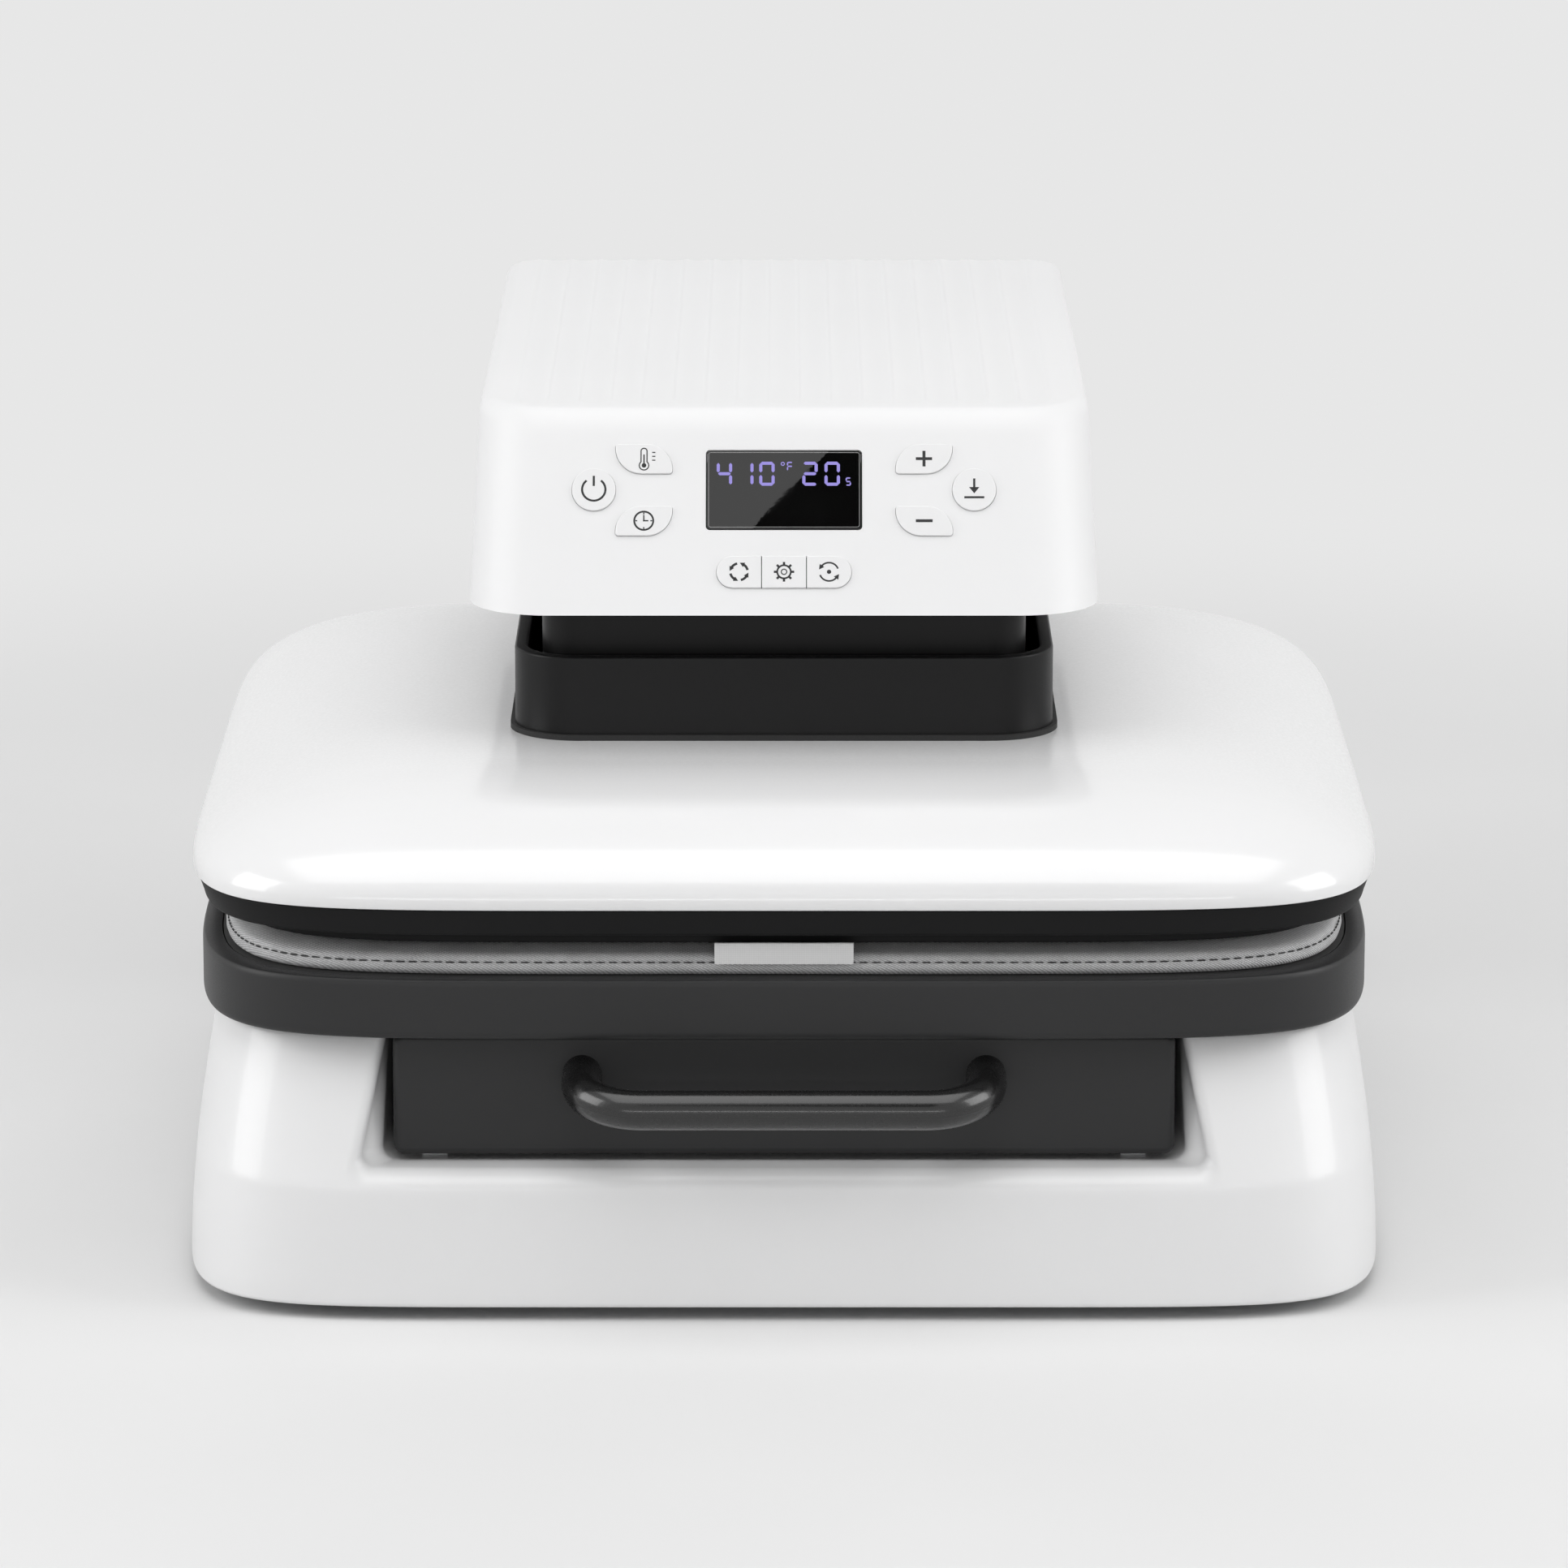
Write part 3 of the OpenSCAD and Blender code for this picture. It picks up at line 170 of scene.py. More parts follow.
def rect_ray(half_w, half_h, radius, x, y):
    """Where a ray from the middle towards (x, y) meets a rounded rectangle."""
    ux, uy = max(abs(x), 1e-9), max(abs(y), 1e-9)
    reach = min(half_w / ux, half_h / uy)
    cx, cy = half_w - radius, half_h - radius
    if reach * ux > cx and reach * uy > cy:
        length = ux * ux + uy * uy
        half = (ux * cx + uy * cy) / length
        root = half * half - (cx * cx + cy * cy - radius * radius) / length
        reach = half + sqrt(max(0.0, root))
    return reach * x, reach * y


# Meshes, each shape as its points and faces

WELD = 0.002  # points nearer than this become one


def loft(rings, wrap=False, caps=False):
    """Shape through closed rings that have equal numbers of points."""
    count, rows = len(rings[0]), len(rings)
    faces = []
    for r in range(rows if wrap else rows - 1):
        s = (r + 1) % rows
        for i in range(count):
            j = (i + 1) % count
            faces.append((r * count + i, r * count + j, s * count + j, s * count + i))
    if caps:
        faces.append(tuple(range(count))[::-1])
        faces.append(tuple(range((rows - 1) * count, rows * count)))
    return [p for ring in rings for p in ring], faces


def sheet(rows):
    """Shape of an open sheet of points in rows."""
    wide = len(rows[0])
    first = [r * wide + c for r in range(len(rows) - 1) for c in range(wide - 1)]
    return [p for row in rows for p in row], [(k, k + 1, k + wide + 1, k + wide) for k in first]


def cap(loop):
    """Shape of one face."""
    return list(loop), [tuple(range(len(loop)))]


def joined(shapes):
    points, faces = [], []
    for more, sides in shapes:
        faces += [tuple(len(points) + k for k in side) for side in sides]
        points += more
    return points, faces


def added(name, data):
    """A new object of the scene."""
    obj = bpy.data.objects.new(name, data)
    bpy.context.scene.collection.objects.link(obj)
    return obj


def smooth(obj, sharp):
    """Smooth shading, with edges above an angle left sharp."""
    obj.data.shade_smooth()
    obj.data.set_sharp_from_angle(angle=radians(sharp))


def mesh_piece(name, shape, sharp=35, closed=True):
    """A new object from a shape in the platen's frame."""
    points, faces = shape
    mesh = bpy.data.meshes.new(name)
    mesh.from_pydata([at(*p) for p in points], [], faces)
    bm = bmesh.new()
    bm.from_mesh(mesh)
    bmesh.ops.remove_doubles(bm, verts=bm.verts, dist=WELD * MM)
    if closed:
        bmesh.ops.recalc_face_normals(bm, faces=bm.faces)
    bm.to_mesh(mesh)
    bm.free()
    obj = added(name, mesh)
    smooth(obj, sharp)
    return obj


def baked(obj, sharp):
    """Applies an object's modifiers to its mesh."""
    graph = bpy.context.evaluated_depsgraph_get()
    mesh = bpy.data.meshes.new_from_object(obj.evaluated_get(graph))
    obj.modifiers.clear()
    obj.data = mesh
    smooth(obj, sharp)


# Materials

def rgb(level, tint=(1.0, 1.0, 1.0)):
    return (*(level * t for t in tint), 1.0)


def shaded(color, factor):
    return rgb(factor, color[:3])


class Nodes:
    """A tree of shader nodes."""

    def __init__(self, tree):
        self.tree = tree

    def feed(self, socket, value):
        """An input takes a value, or the output of another node."""
        if isinstance(value, bpy.types.NodeSocket):
            self.tree.links.new(value, socket)
        else:
            socket.default_value = value

    def node(self, kind, *inputs, **settings):
        """A new node: its inputs in order or by capitalised name, its properties by their own names."""
        node = self.tree.nodes.new(kind)
        for socket, value in zip(node.inputs, inputs):
            self.feed(socket, value)
        for key, value in settings.items():
            if key.islower():
                setattr(node, key, value)
            else:
                self.feed(node.inputs[key.replace("_", " ")], value)
        return node

    def math(self, operation, *inputs, **settings):
        return self.node("ShaderNodeMath", *inputs, operation=operation, **settings).outputs[0]


class Surface(Nodes):
    """One procedural material, built up around a principled shader."""

    def __init__(self, name, roughness, **inputs):
        self.name = name
        self.material = bpy.data.materials.new(name)
        self.material.use_nodes = True
        super().__init__(self.material.node_tree)
        self.shader = self.tree.nodes["Principled BSDF"]
        self.set(Roughness=roughness, **inputs)
        self.coordinates = self.node("ShaderNodeTexCoord").outputs["Object"]
        self.relief = None

    def set(self, **inputs):
        for key, value in inputs.items():
            self.feed(self.shader.inputs[key.replace("_", " ")], value)

    def noise(self, scale, detail, stretch=None):
        """Noise over the object's own coordinates; scale is in cells per metre."""
        vector = self.coordinates
        if stretch:
            vector = self.node("ShaderNodeMapping", Vector=vector, Scale=stretch).outputs["Vector"]
        return self.node("ShaderNodeTexNoise", Vector=vector, Scale=scale, Detail=detail).outputs["Fac"]

    def stripes(self, direction, pitch):
        """A wave from -1 to 1 along a direction, with its pitch in millimetres."""
        turns = [2 * pi / (pitch * MM) * d for d in direction]
        dot = self.node("ShaderNodeVectorMath", self.coordinates, turns, operation="DOT_PRODUCT")
        return self.math("SINE", dot.outputs["Value"])

    def spread(self, value, low, high, source=(0.3, 0.7), **settings):
        """A pattern mapped to a range of numbers."""
        node = self.node("ShaderNodeMapRange", value, *source, low, high, **settings)
        return node.outputs["Result"]

    def times(self, a, b):
        return self.math("MULTIPLY", a, b)

    def ramp(self, value, color, low, high, source=(0.3, 0.7)):
        """A colour that runs from dark to light with a pattern."""
        node = self.node("ShaderNodeValToRGB", Fac=self.spread(value, 0.0, 1.0, source))
        for element, level in zip(node.color_ramp.elements, (low, high)):
            element.color = shaded(color, level)
        return node.outputs["Color"]

    def colored(self, *pattern):
        self.set(Base_Color=self.ramp(*pattern))

    def rough(self, value, low, high):
        self.set(Roughness=self.spread(value, low, high))

    def bump(self, value, depth, strength=1.0):
        """Relief of a depth in millimetres; a second call adds to the first."""
        node = self.node("ShaderNodeBump", Distance=depth * MM, Strength=strength, Height=value)
        if self.relief:
            self.feed(node.inputs["Normal"], self.relief)
        self.relief = node.outputs["Normal"]
        self.set(Normal=self.relief)


def plastic(name, color, roughness, grain, depth, vary=0.02, coat=0.0, shine=0.5, haze=0.05):
    """Moulded plastic: slow drift of colour, fine grain in gloss and relief."""
    surface = Surface(name, roughness, Coat_Weight=coat, Coat_Roughness=0.06, Specular_IOR_Level=shine)
    surface.colored(surface.noise(9, 2), color, 1 - vary, 1 + vary)
    fine = surface.noise(grain, 4)
    surface.rough(fine, roughness - haze, roughness + haze)
    surface.bump(fine, depth)
    return surface


def metal(name, color, roughness, stretch=(1.0, 1.0, 1.0), depth=0.01):
    """Metal with fine lines, drawn along the direction in which the pattern is stretched."""
    surface = Surface(name, roughness, Metallic=1.0)
    lines = surface.noise(900, 5, stretch)
    surface.colored(lines, color, 0.88, 1.06)
    surface.rough(surface.noise(60, 4), roughness - 0.08, roughness + 0.1)
    surface.bump(lines, depth)
    return surface


TWILL_LEAN, RIB_PITCH, PICK_PITCH = radians(27), 0.8, 1.15


def twill(name, color):
    """Twill of the mat: slanting ribs with a thread across them, mottled and a little worn."""
    surface = Surface(name, 0.92, Sheen_Weight=0.35, Sheen_Roughness=0.5)
    s, c = sin(TWILL_LEAN), cos(TWILL_LEAN)
    ribs = surface.spread(surface.stripes((s, s, c), RIB_PITCH), 0.0, 1.0, (-0.9, 0.9))
    picks = surface.spread(surface.stripes((c, c, -s), PICK_PITCH), 0.65, 1.0, (-1.0, 1.0))
    weave = surface.times(ribs, picks)
    fuzz = surface.noise(1400, 3)
    wear = surface.times(surface.spread(fuzz, 0.82, 1.0), surface.spread(surface.noise(95, 4), 0.84, 1.0))
    shade = surface.times(surface.spread(weave, 0.55, 1.0, (0.0, 0.8)), wear)
    surface.colored(shade, color, 0.42, 1.1, (0.3, 0.98))
    surface.bump(weave, 0.16)
    surface.bump(fuzz, 0.06, 0.6)
    return surface


def ribbon(name, color):
    """Woven tape of the tab: fine warp and weft."""
    surface = Surface(name, 0.75, Sheen_Weight=0.3)
    weave = surface.times(surface.spread(surface.stripes((1, 0, 0), 0.45), 0.3, 1.0, (-1, 1)),
                          surface.spread(surface.stripes((0, 0, 1), 0.5), 0.3, 1.0, (-1, 1)))
    surface.colored(weave, color, 0.86, 1.02, (0.1, 0.9))
    surface.bump(weave, 0.07)
    return surface


def glass(name):
    """Black display glass with the faintest haze of handling."""
    surface = Surface(name, 0.01, Specular_IOR_Level=1.0)
    haze = surface.noise(40, 4)
    surface.colored(haze, rgb(1.0), 0.002, 0.004)
    surface.rough(haze, 0.0, 0.014)
    surface.bump(surface.noise(300, 2), 0.0008)
    return surface


def lit(name, color, strength):
    """Glowing segments of the display, a little uneven."""
    surface = Surface(name, 0.3, Emission_Strength=strength)
    glow = surface.noise(500, 2)
    surface.set(Emission_Color=surface.ramp(glow, color, 0.9, 1.0, (0.0, 1.0)))
    surface.colored(glow, rgb(1.0), 0.02, 0.03)
    return surface


def felt(name, color):
    surface = Surface(name, 0.95, Sheen_Weight=0.3)
    fibres = surface.noise(700, 6)
    surface.colored(fibres, color, 0.75, 1.05)
    surface.bump(fibres, 0.4)
    return surface


def board(name, color):
    """Lacquered circuit board with a faint grid of tracks."""
    surface = Surface(name, 0.35, Coat_Weight=0.4)
    tracks = surface.times(surface.spread(surface.stripes((1, 0, 0), 5.0), 0.0, 1.0, (-0.2, 0.2)),
                           surface.spread(surface.stripes((0, 1, 0), 7.0), 0.2, 1.0, (-0.2, 0.2)))
    surface.colored(tracks, color, 0.75, 1.15, (0.0, 1.0))
    surface.bump(tracks, 0.03)
    return surface


COOL = (1.0, 1.0, 1.04)
WHITE = rgb(0.80, (1.0, 1.0, 1.005))
CHARCOAL = rgb(0.02, (1.0, 1.0, 1.03))
STEEL = rgb(0.56, (0.98, 0.99, 1.0))

# Plastics have roughness, grain in cells per metre, relief in millimetres, drift of colour and coat
SURFACES = {surface.name: surface for surface in (
    plastic("white_gloss", WHITE, 0.22, 900, 0.004, 0.008, 0.5),
    plastic("white_satin", WHITE, 0.4, 2600, 0.008, 0.008, shine=0.3),
    plastic("key_white", shaded(WHITE, 0.98), 0.36, 2600, 0.006, 0.008),
    plastic("charcoal", CHARCOAL, 0.46, 2200, 0.02, 0.06, shine=0.32),
    plastic("handle_black", rgb(0.008), 0.24, 1500, 0.006, 0.05, 0.3),
    plastic("soft_black", rgb(0.012), 0.72, 1600, 0.03, 0.1),
    plastic("inlet_black", rgb(0.018), 0.42, 2200, 0.012, 0.05),
    plastic("module_black", rgb(0.015), 0.55, 1500, 0.01, 0.05),
    plastic("silicone", rgb(0.035), 0.66, 1200, 0.02, 0.06),
    glass("display_glass"),
    twill("mat_fabric", rgb(0.8, (1.0, 1.0, 1.01))),
    ribbon("tab_fabric", rgb(0.88)),
    metal("steel", STEEL, 0.34, (1.0, 0.05, 1.0)),
    metal("cast_alloy", rgb(0.5), 0.42, depth=0.03),
    metal("element_metal", rgb(0.3, (1.0, 0.66, 0.45)), 0.5, depth=0.03),
    metal("brass", rgb(0.7, (1.0, 0.78, 0.38)), 0.3, (1.0, 1.0, 0.05)),
    metal("motor_metal", rgb(0.2, (0.98, 1.0, 1.06)), 0.45, (1.0, 0.1, 1.0)),
    board("board_green", rgb(0.2, (0.27, 1.0, 0.5))),
    felt("insulation", rgb(0.7, (1.0, 0.94, 0.78))),
)}
# Darker copy of charcoal for the collar and the inner shroud: painted shade of their place under the head
CHARCOAL_SHADED = plastic("charcoal_deep", rgb(0.006, COOL), 0.4, 2200, 0.012, 0.06, shine=0.2)
HOUSING = plastic("base_white", WHITE, 0.38, 900, 0.003, 0.008, 0.25, haze=0.01)
# Darker copy of charcoal for the platen's rim band: painted shade
RIM_SHADED = plastic("rim_black", rgb(0.008, COOL), 0.55, 2200, 0.02, 0.06, shine=0.14)
INK = plastic("print_ink", rgb(0.028, COOL), 0.55, 3000, 0.004, 0.08, shine=0.3)
THREAD = plastic("seam_thread", rgb(0.05), 0.85, 2500, 0.05, 0.2)
DIGITS = lit("display_digits", (0.36, 0.30, 0.86, 1.0), 0.85)
# Light grey of a line inside the display's edge: painted highlight of its bevel
BORDER_HIGHLIGHT = plastic("display_border", rgb(0.32), 0.4, 2000, 0.004)


def place(piece, body, slot, *nodes, surface=None):
    """A finished piece takes its material, rides on a body and stands for CAD nodes."""
    piece.data.materials.clear()
    piece.data.materials.append((surface or SURFACES[slot]).material)
    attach(piece, body)
    if nodes:
        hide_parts(*nodes)


# Base

BASE_A, BASE_Y0, BASE_Y1, FOOT_Z, DECK_Z = extent("base_shell")
BASE_FLARE, FLARE_POWER = 11.0, 1.8
APRON_Z, APRON_BEND = 49.0, 2.0
APRON_LEAN, CHEEK_LEAN, REAR_LEAN = (tan(radians(d)) for d in (5.15, 17.0, 1.15))
FOOT_R, DECK_R, BASE_WALL, FLOOR_RECESS = 2.0, 3.0, 3.0, 2.4
SLOT_Z, SLOT_Y1 = 54.4, 205.0
SLOT_DECK_A, SLOT_TAPER, SLOT_DRAFT = 143.0, 9.0, 2.0
SLOT_CORNER, SLOT_LIP, SLOT_FLARE = 5.0, 6.0, 17.0
SLOT_TURN_Z = SLOT_Z - SLOT_LIP + SLOT_CORNER  # where the lip's sides meet its corners
CHEEK_SPAN = 40  # ring points from the middle of the front to the edge of the front patch
# Rows of the upper edge, cheeks, bend and foot, then of the slot's corners, front patch, lip and mouth
DECK_STEPS, WALL_STEPS, BEND_STEPS, FOOT_STEPS = 7, 13, 13, 6
CORNER_STEPS, STRIP_STEPS, LIP_STEPS, FLARE_STEPS = 40, 22, 10, 10


def base_section(z):
    """Half width, front and rear of the base at a height, with its edges rounded."""
    ramp = z - APRON_Z
    if abs(ramp) < APRON_BEND:
        ramp = (ramp + APRON_BEND) ** 2 / (4 * APRON_BEND)
    inset = 0.0
    if z < FOOT_Z + FOOT_R:
        inset = FOOT_R * round_in((FOOT_Z + FOOT_R - z) / FOOT_R)
    elif z > DECK_Z - DECK_R:
        inset = DECK_R * round_in((z - DECK_Z + DECK_R) / DECK_R)
    up = z - FOOT_Z
    side = BASE_A - BASE_FLARE * (up / (DECK_Z - FOOT_Z)) ** FLARE_POWER - inset
    nose = BASE_Y0 + APRON_LEAN * up + CHEEK_LEAN * max(0.0, ramp) + inset
    return side, nose, BASE_Y1 - REAR_LEAN * up - inset


def base_ring(z, inset=0.0, height=None):
    """Ring of the base at a height, or drawn in and put at another height."""
    side, nose, tail = base_section(z)
    return square_ring(side - inset, z if height is None else height, (nose + tail) / 2,
                       (tail - nose) / 2 - inset, BASE_UNIT)


def base_face(x, z):
    """Front of the base at a point of the front view."""
    side, nose, tail = base_section(z)
    b = (tail - nose) / 2
    return nose + b - b * max(0.0, 1 - min(1.0, abs(x) / side) ** BASE_N) ** (1 / BASE_N)


def slot_outline(grown, shares, taper=SLOT_TAPER):
    """The slot in the front view, from its right top round to its left top, grown by some millimetres."""
    lean = taper / (DECK_Z - SLOT_Z)
    x0, z0 = SLOT_DECK_A + taper + grown, SLOT_Z - grown
    top = SLOT_DECK_A + grown - lean * grown
    turn_z, end = z0 + SLOT_CORNER, x0 - SLOT_CORNER
    right = [(mix(x0, top, s), mix(turn_z, DECK_Z, s)) for s in shares]
    right += quarter((x0, turn_z), (end, z0), CORNER_STEPS, upright=True)[1:]
    floor = [(mix(end, -end, s), z0) for s in shares_of(2 * CHEEK_SPAN - CORNER_STEPS)[:-1]]
    return right + floor + [(-x, z) for x, z in reversed(right)]


def slot_rows(shares):
    """Rows of the slot from its face inwards: the rounded lip, the flared mouth and the back."""
    rows = []
    for grown, depth in quarter((SLOT_LIP, 0.0), (0.0, SLOT_LIP), LIP_STEPS)[1:]:
        rows.append([(x, base_face(x, z) + depth, z) for x, z in slot_outline(grown, shares)])
    for t in shares_of(FLARE_STEPS):
        taper = mix(SLOT_TAPER, SLOT_DRAFT, t * t * (3 - 2 * t))
        depth = mix(SLOT_LIP, SLOT_FLARE, t)
        rows.append([(x, base_face(x, z) + depth, z) for x, z in slot_outline(0.0, shares, taper)])
    return rows + [[(x, SLOT_Y1, z) for x, z in slot_outline(0.0, shares, SLOT_DRAFT)]]


def base_levels():
    """Heights of the base's rings from the deck down, above and below the turn of the slot's sides."""
    edge = [DECK_Z - DECK_R * (1 - sin(a)) for a in reversed(arc(DECK_STEPS))]
    wall = np.linspace(edge[-1], SLOT_TURN_Z, WALL_STEPS + 1)[1:]
    bend = np.linspace(SLOT_TURN_Z, APRON_Z - APRON_BEND, BEND_STEPS + 1)[1:]
    apron = np.linspace(bend[-1], FOOT_Z + FOOT_R, CORNER_STEPS // 2 - BEND_STEPS + 1)[1:]
    return [*edge, *wall], [*bend, *apron]


def build_base():
    high, low = base_levels()
    rings = [base_ring(z) for z in high + low]
    around = [ring[CHEEK_SPAN:RING - CHEEK_SPAN + 1] for ring in rings]

    # Front patch, from the rest of the shell in to the slot
    floor = [rings[-1][i] for i in range(CHEEK_SPAN - 1, -CHEEK_SPAN, -1)]
    outer = [row[0] for row in around] + floor + [row[-1] for row in reversed(around)]
    shares = [(z - SLOT_TURN_Z) / (DECK_Z - SLOT_TURN_Z) for z in high]
    inner = slot_outline(SLOT_LIP, shares)
    front = [outer]
    for t in shares_of(STRIP_STEPS):
        row = [(mix(o[0], n[0], t), mix(o[2], n[1], t)) for o, n in zip(outer, inner)]
        front.append([(x, base_face(x, z), z) for x, z in row])
    front += slot_rows(shares)

    deck = [row[0] for row in reversed(front)] + around[0][1:-1] + [row[-1] for row in front]
    foot = [base_ring(FOOT_Z + FOOT_R * (1 - sin(a))) for a in arc(FOOT_STEPS)]
    foot += [base_ring(FOOT_Z + FOOT_R, BASE_WALL, z) for z in (FOOT_Z, FOOT_Z + FLOOR_RECESS)]
    shape = joined([sheet(around), sheet(front), cap(front[-1]), cap(deck),
                    sheet([row + row[:1] for row in foot]), cap(foot[-1])])
    place(mesh_piece("base_housing", shape, 40), "root", "white_gloss", "base_shell", surface=HOUSING)


# Platen

COVER_A, _, _, COVER_Z0, COVER_Z1 = extent("platen_cover")
COVER_EDGE, COVER_LIP, COVER_LIP_R, COVER_WALL = 88.0, 2.0, 0.6, 3.0
COLLAR_W, COLLAR_Y0, COLLAR_Y1, COLLAR_Z0, COLLAR_Z1 = extent("collar")
COLLAR_D, COLLAR_R = (COLLAR_Y1 - COLLAR_Y0) / 2, 24.0
COLLAR_EDGE, COLLAR_WALL, COLLAR_FOOT_R, COLLAR_LEDGE = 0.9, 5.0, 0.3, 1.0
OPENING_INSET = 4.5                  # the cover's opening lies this far inside the collar
SPIGOT_PLAY, SPIGOT_WALL = 0.3, 2.2  # the collar's spigot in that opening
_, _, _, RIM_Z0, RIM_Z1 = extent("platen_rim")
RIM_INSIDE, RIM_SKIRT, RIM_UPSTAND = 193.5, 203.0, 200.0
RIM_LOW_A, RIM_HIGH_A, SKIRT_H = 214.5, 216.8, 5.5
SKIRT_EDGE = ((0.8, 0.0), (0.2, 0.3), (0.0, 1.0))  # broken edge at the skirt's foot: inwards, upwards
RIM_LOW_EDGE, RIM_HIGH_EDGE = (1.1, 1.6), (0.9, 1.2)


def build_cover():
    shoulder, inset = COVER_Z0 + COVER_LIP, OPENING_INSET
    inside, ceiling = COVER_A - COVER_WALL, COVER_Z1 - COVER_WALL
    lip = low_edge(COVER_A, COVER_Z0, COVER_LIP_R, COVER_LIP_R, 4)
    outer = high_edge(COVER_A, COVER_Z1, COVER_EDGE, COVER_Z1 - shoulder, 44)
    inner = high_edge(inside, ceiling, COVER_EDGE - COVER_WALL, ceiling - shoulder, 12)
    opening = [rect_ray(COLLAR_W - inset, COLLAR_D - inset, COLLAR_R - inset, x, y) for x, y in UNIT]
    rings = square_rings(lip + outer) + [[(x, y, z) for x, y in opening] for z in (COVER_Z1, ceiling)]
    rings += square_rings(inner[::-1] + [(inside, COVER_Z0)])
    place(mesh_piece("platen_dome", loft(rings, wrap=True)), "platen", "white_gloss", "platen_cover")


def build_rim():
    foot, top = RIM_Z0 + SKIRT_H, COVER_Z0
    profile = [(RIM_INSIDE, RIM_Z0)] + [(RIM_SKIRT - aside, RIM_Z0 + up) for aside, up in SKIRT_EDGE]
    profile.append((RIM_SKIRT, foot))
    profile += low_edge(RIM_LOW_A, foot, *RIM_LOW_EDGE, 6) + high_edge(RIM_HIGH_A, top, *RIM_HIGH_EDGE, 6)
    profile += [(RIM_UPSTAND, top), (RIM_UPSTAND, RIM_Z1), (RIM_INSIDE, RIM_Z1)]
    band = mesh_piece("platen_band", loft(square_rings(profile), wrap=True))
    # The rim band takes the darker copy of charcoal: painted shade
    place(band, "platen", "charcoal", "platen_rim", surface=RIM_SHADED)


def build_collar():
    spigot_out = OPENING_INSET + SPIGOT_PLAY
    spigot_in = spigot_out + SPIGOT_WALL
    seat, ledge, edge_z = COVER_Z1, COVER_Z1 + COLLAR_LEDGE, COLLAR_Z1 - COLLAR_EDGE
    profile = [(COLLAR_FOOT_R, seat), (0.0, seat + COLLAR_FOOT_R)]
    profile += quarter((0.0, edge_z), (COLLAR_EDGE, COLLAR_Z1), 6, upright=True)
    profile += quarter((COLLAR_WALL - COLLAR_EDGE, COLLAR_Z1), (COLLAR_WALL, edge_z), 6)
    profile += [(COLLAR_WALL, ledge), (spigot_in, ledge), (spigot_in, COLLAR_Z0), (spigot_out, COLLAR_Z0),
                (spigot_out, seat)]
    rings = [[(x, y, z) for x, y in rect_outline(COLLAR_W - i, COLLAR_D - i, COLLAR_R - i, 18)]
             for i, z in profile]
    collar = mesh_piece("lift_collar", loft(rings, wrap=True))
    # The collar takes the darker copy of charcoal: painted shade
    place(collar, "platen", "charcoal", "collar", surface=CHARCOAL_SHADED)


# Drawer

TRAY_A, _, _, TRAY_Z0, TRAY_Z1 = extent("tray")
_, _, _, RECESS_Z, _ = extent("silicone_pad")
RECESS_A, TRAY_WALL = TRAY_A - 7.0, 3.0
TRAY_LOW_EDGE, TRAY_HIGH_EDGE = (1.4, 3.2), (1.0, 2.6)  # how far aside and how high they round
RECESS_EDGE = ((0.5, 0.0), (0.15, 0.15), (0.0, 0.5))  # broken edge of the recess: outwards, downwards
DRAWER_A, DRAWER_Y0, DRAWER_Y1, DRAWER_Z0, DRAWER_Z1 = extent("drawer_front")
DRAWER_CORNER, DRAWER_EDGE = 4.0, 3.0
DRAWER_BACK_EDGE = ((0.4, 0.0), (0.1, 0.1), (0.0, 0.4))  # broken edge at the panel's back: inwards, forwards
HANDLE_R, HANDLE_BEND, HANDLE_RUN, HANDLE_DROOP = 7.25, 22.0, 30.4, radians(9.5)
HANDLE_LEG = (-1.5, 1.0, 4.0, HANDLE_RUN - HANDLE_BEND)  # rows along a leg, from inside the panel
# The mould's parting line: its height, then half its width and the next row beside it in degrees
PARTING_H, PARTING_W, PARTING_FOOT = 0.09, 2.2, 4.0
HANDLE_STEP = 10  # degrees between the handle's other points


def build_tray():
    inside = TRAY_A - TRAY_WALL
    profile = [(inside, RECESS_Z - TRAY_WALL), (inside, TRAY_Z0)]
    profile += low_edge(TRAY_A, TRAY_Z0, *TRAY_LOW_EDGE, 7) + high_edge(TRAY_A, TRAY_Z1, *TRAY_HIGH_EDGE, 7)
    profile += [(RECESS_A + out, TRAY_Z1 - down) for out, down in RECESS_EDGE]
    profile.append((RECESS_A, RECESS_Z))
    place(mesh_piece("bed_tray", loft(square_rings(profile), caps=True)), "drawer", "charcoal", "tray")


def build_drawer_front():
    half_h, mid_z = (DRAWER_Z1 - DRAWER_Z0) / 2, (DRAWER_Z1 + DRAWER_Z0) / 2
    profile = [(inset, DRAWER_Y1 - forward) for inset, forward in DRAWER_BACK_EDGE]
    profile += quarter((0.0, DRAWER_Y0 + DRAWER_EDGE), (DRAWER_EDGE, DRAWER_Y0), 10, upright=True)
    rings = [[(x, y, mid_z + z) for x, z in rect_outline(DRAWER_A - i, half_h - i, DRAWER_CORNER - i, 10)]
             for i, y in profile]
    place(mesh_piece("drawer_panel", loft(rings, caps=True)), "drawer", "charcoal", "drawer_front")


def handle_section():
    """Points round the bar, as lengths outwards and up, with a parting line on both sides."""
    lines = (-PARTING_FOOT, -PARTING_W, 0.0, PARTING_W, PARTING_FOOT)
    between = {float(d) for d in range(HANDLE_STEP - 180, 180, HANDLE_STEP) if abs(d) > PARTING_FOOT}
    points = []
    for angle in sorted({side + line for side in (0.0, 180.0) for line in lines} | between):
        off_line = min(abs(angle), abs(abs(angle) - 180))
        r = HANDLE_R - PARTING_H * min(1.0, off_line / PARTING_W)
        points.append((r * cos(radians(angle)), r * sin(radians(angle))))
    return points


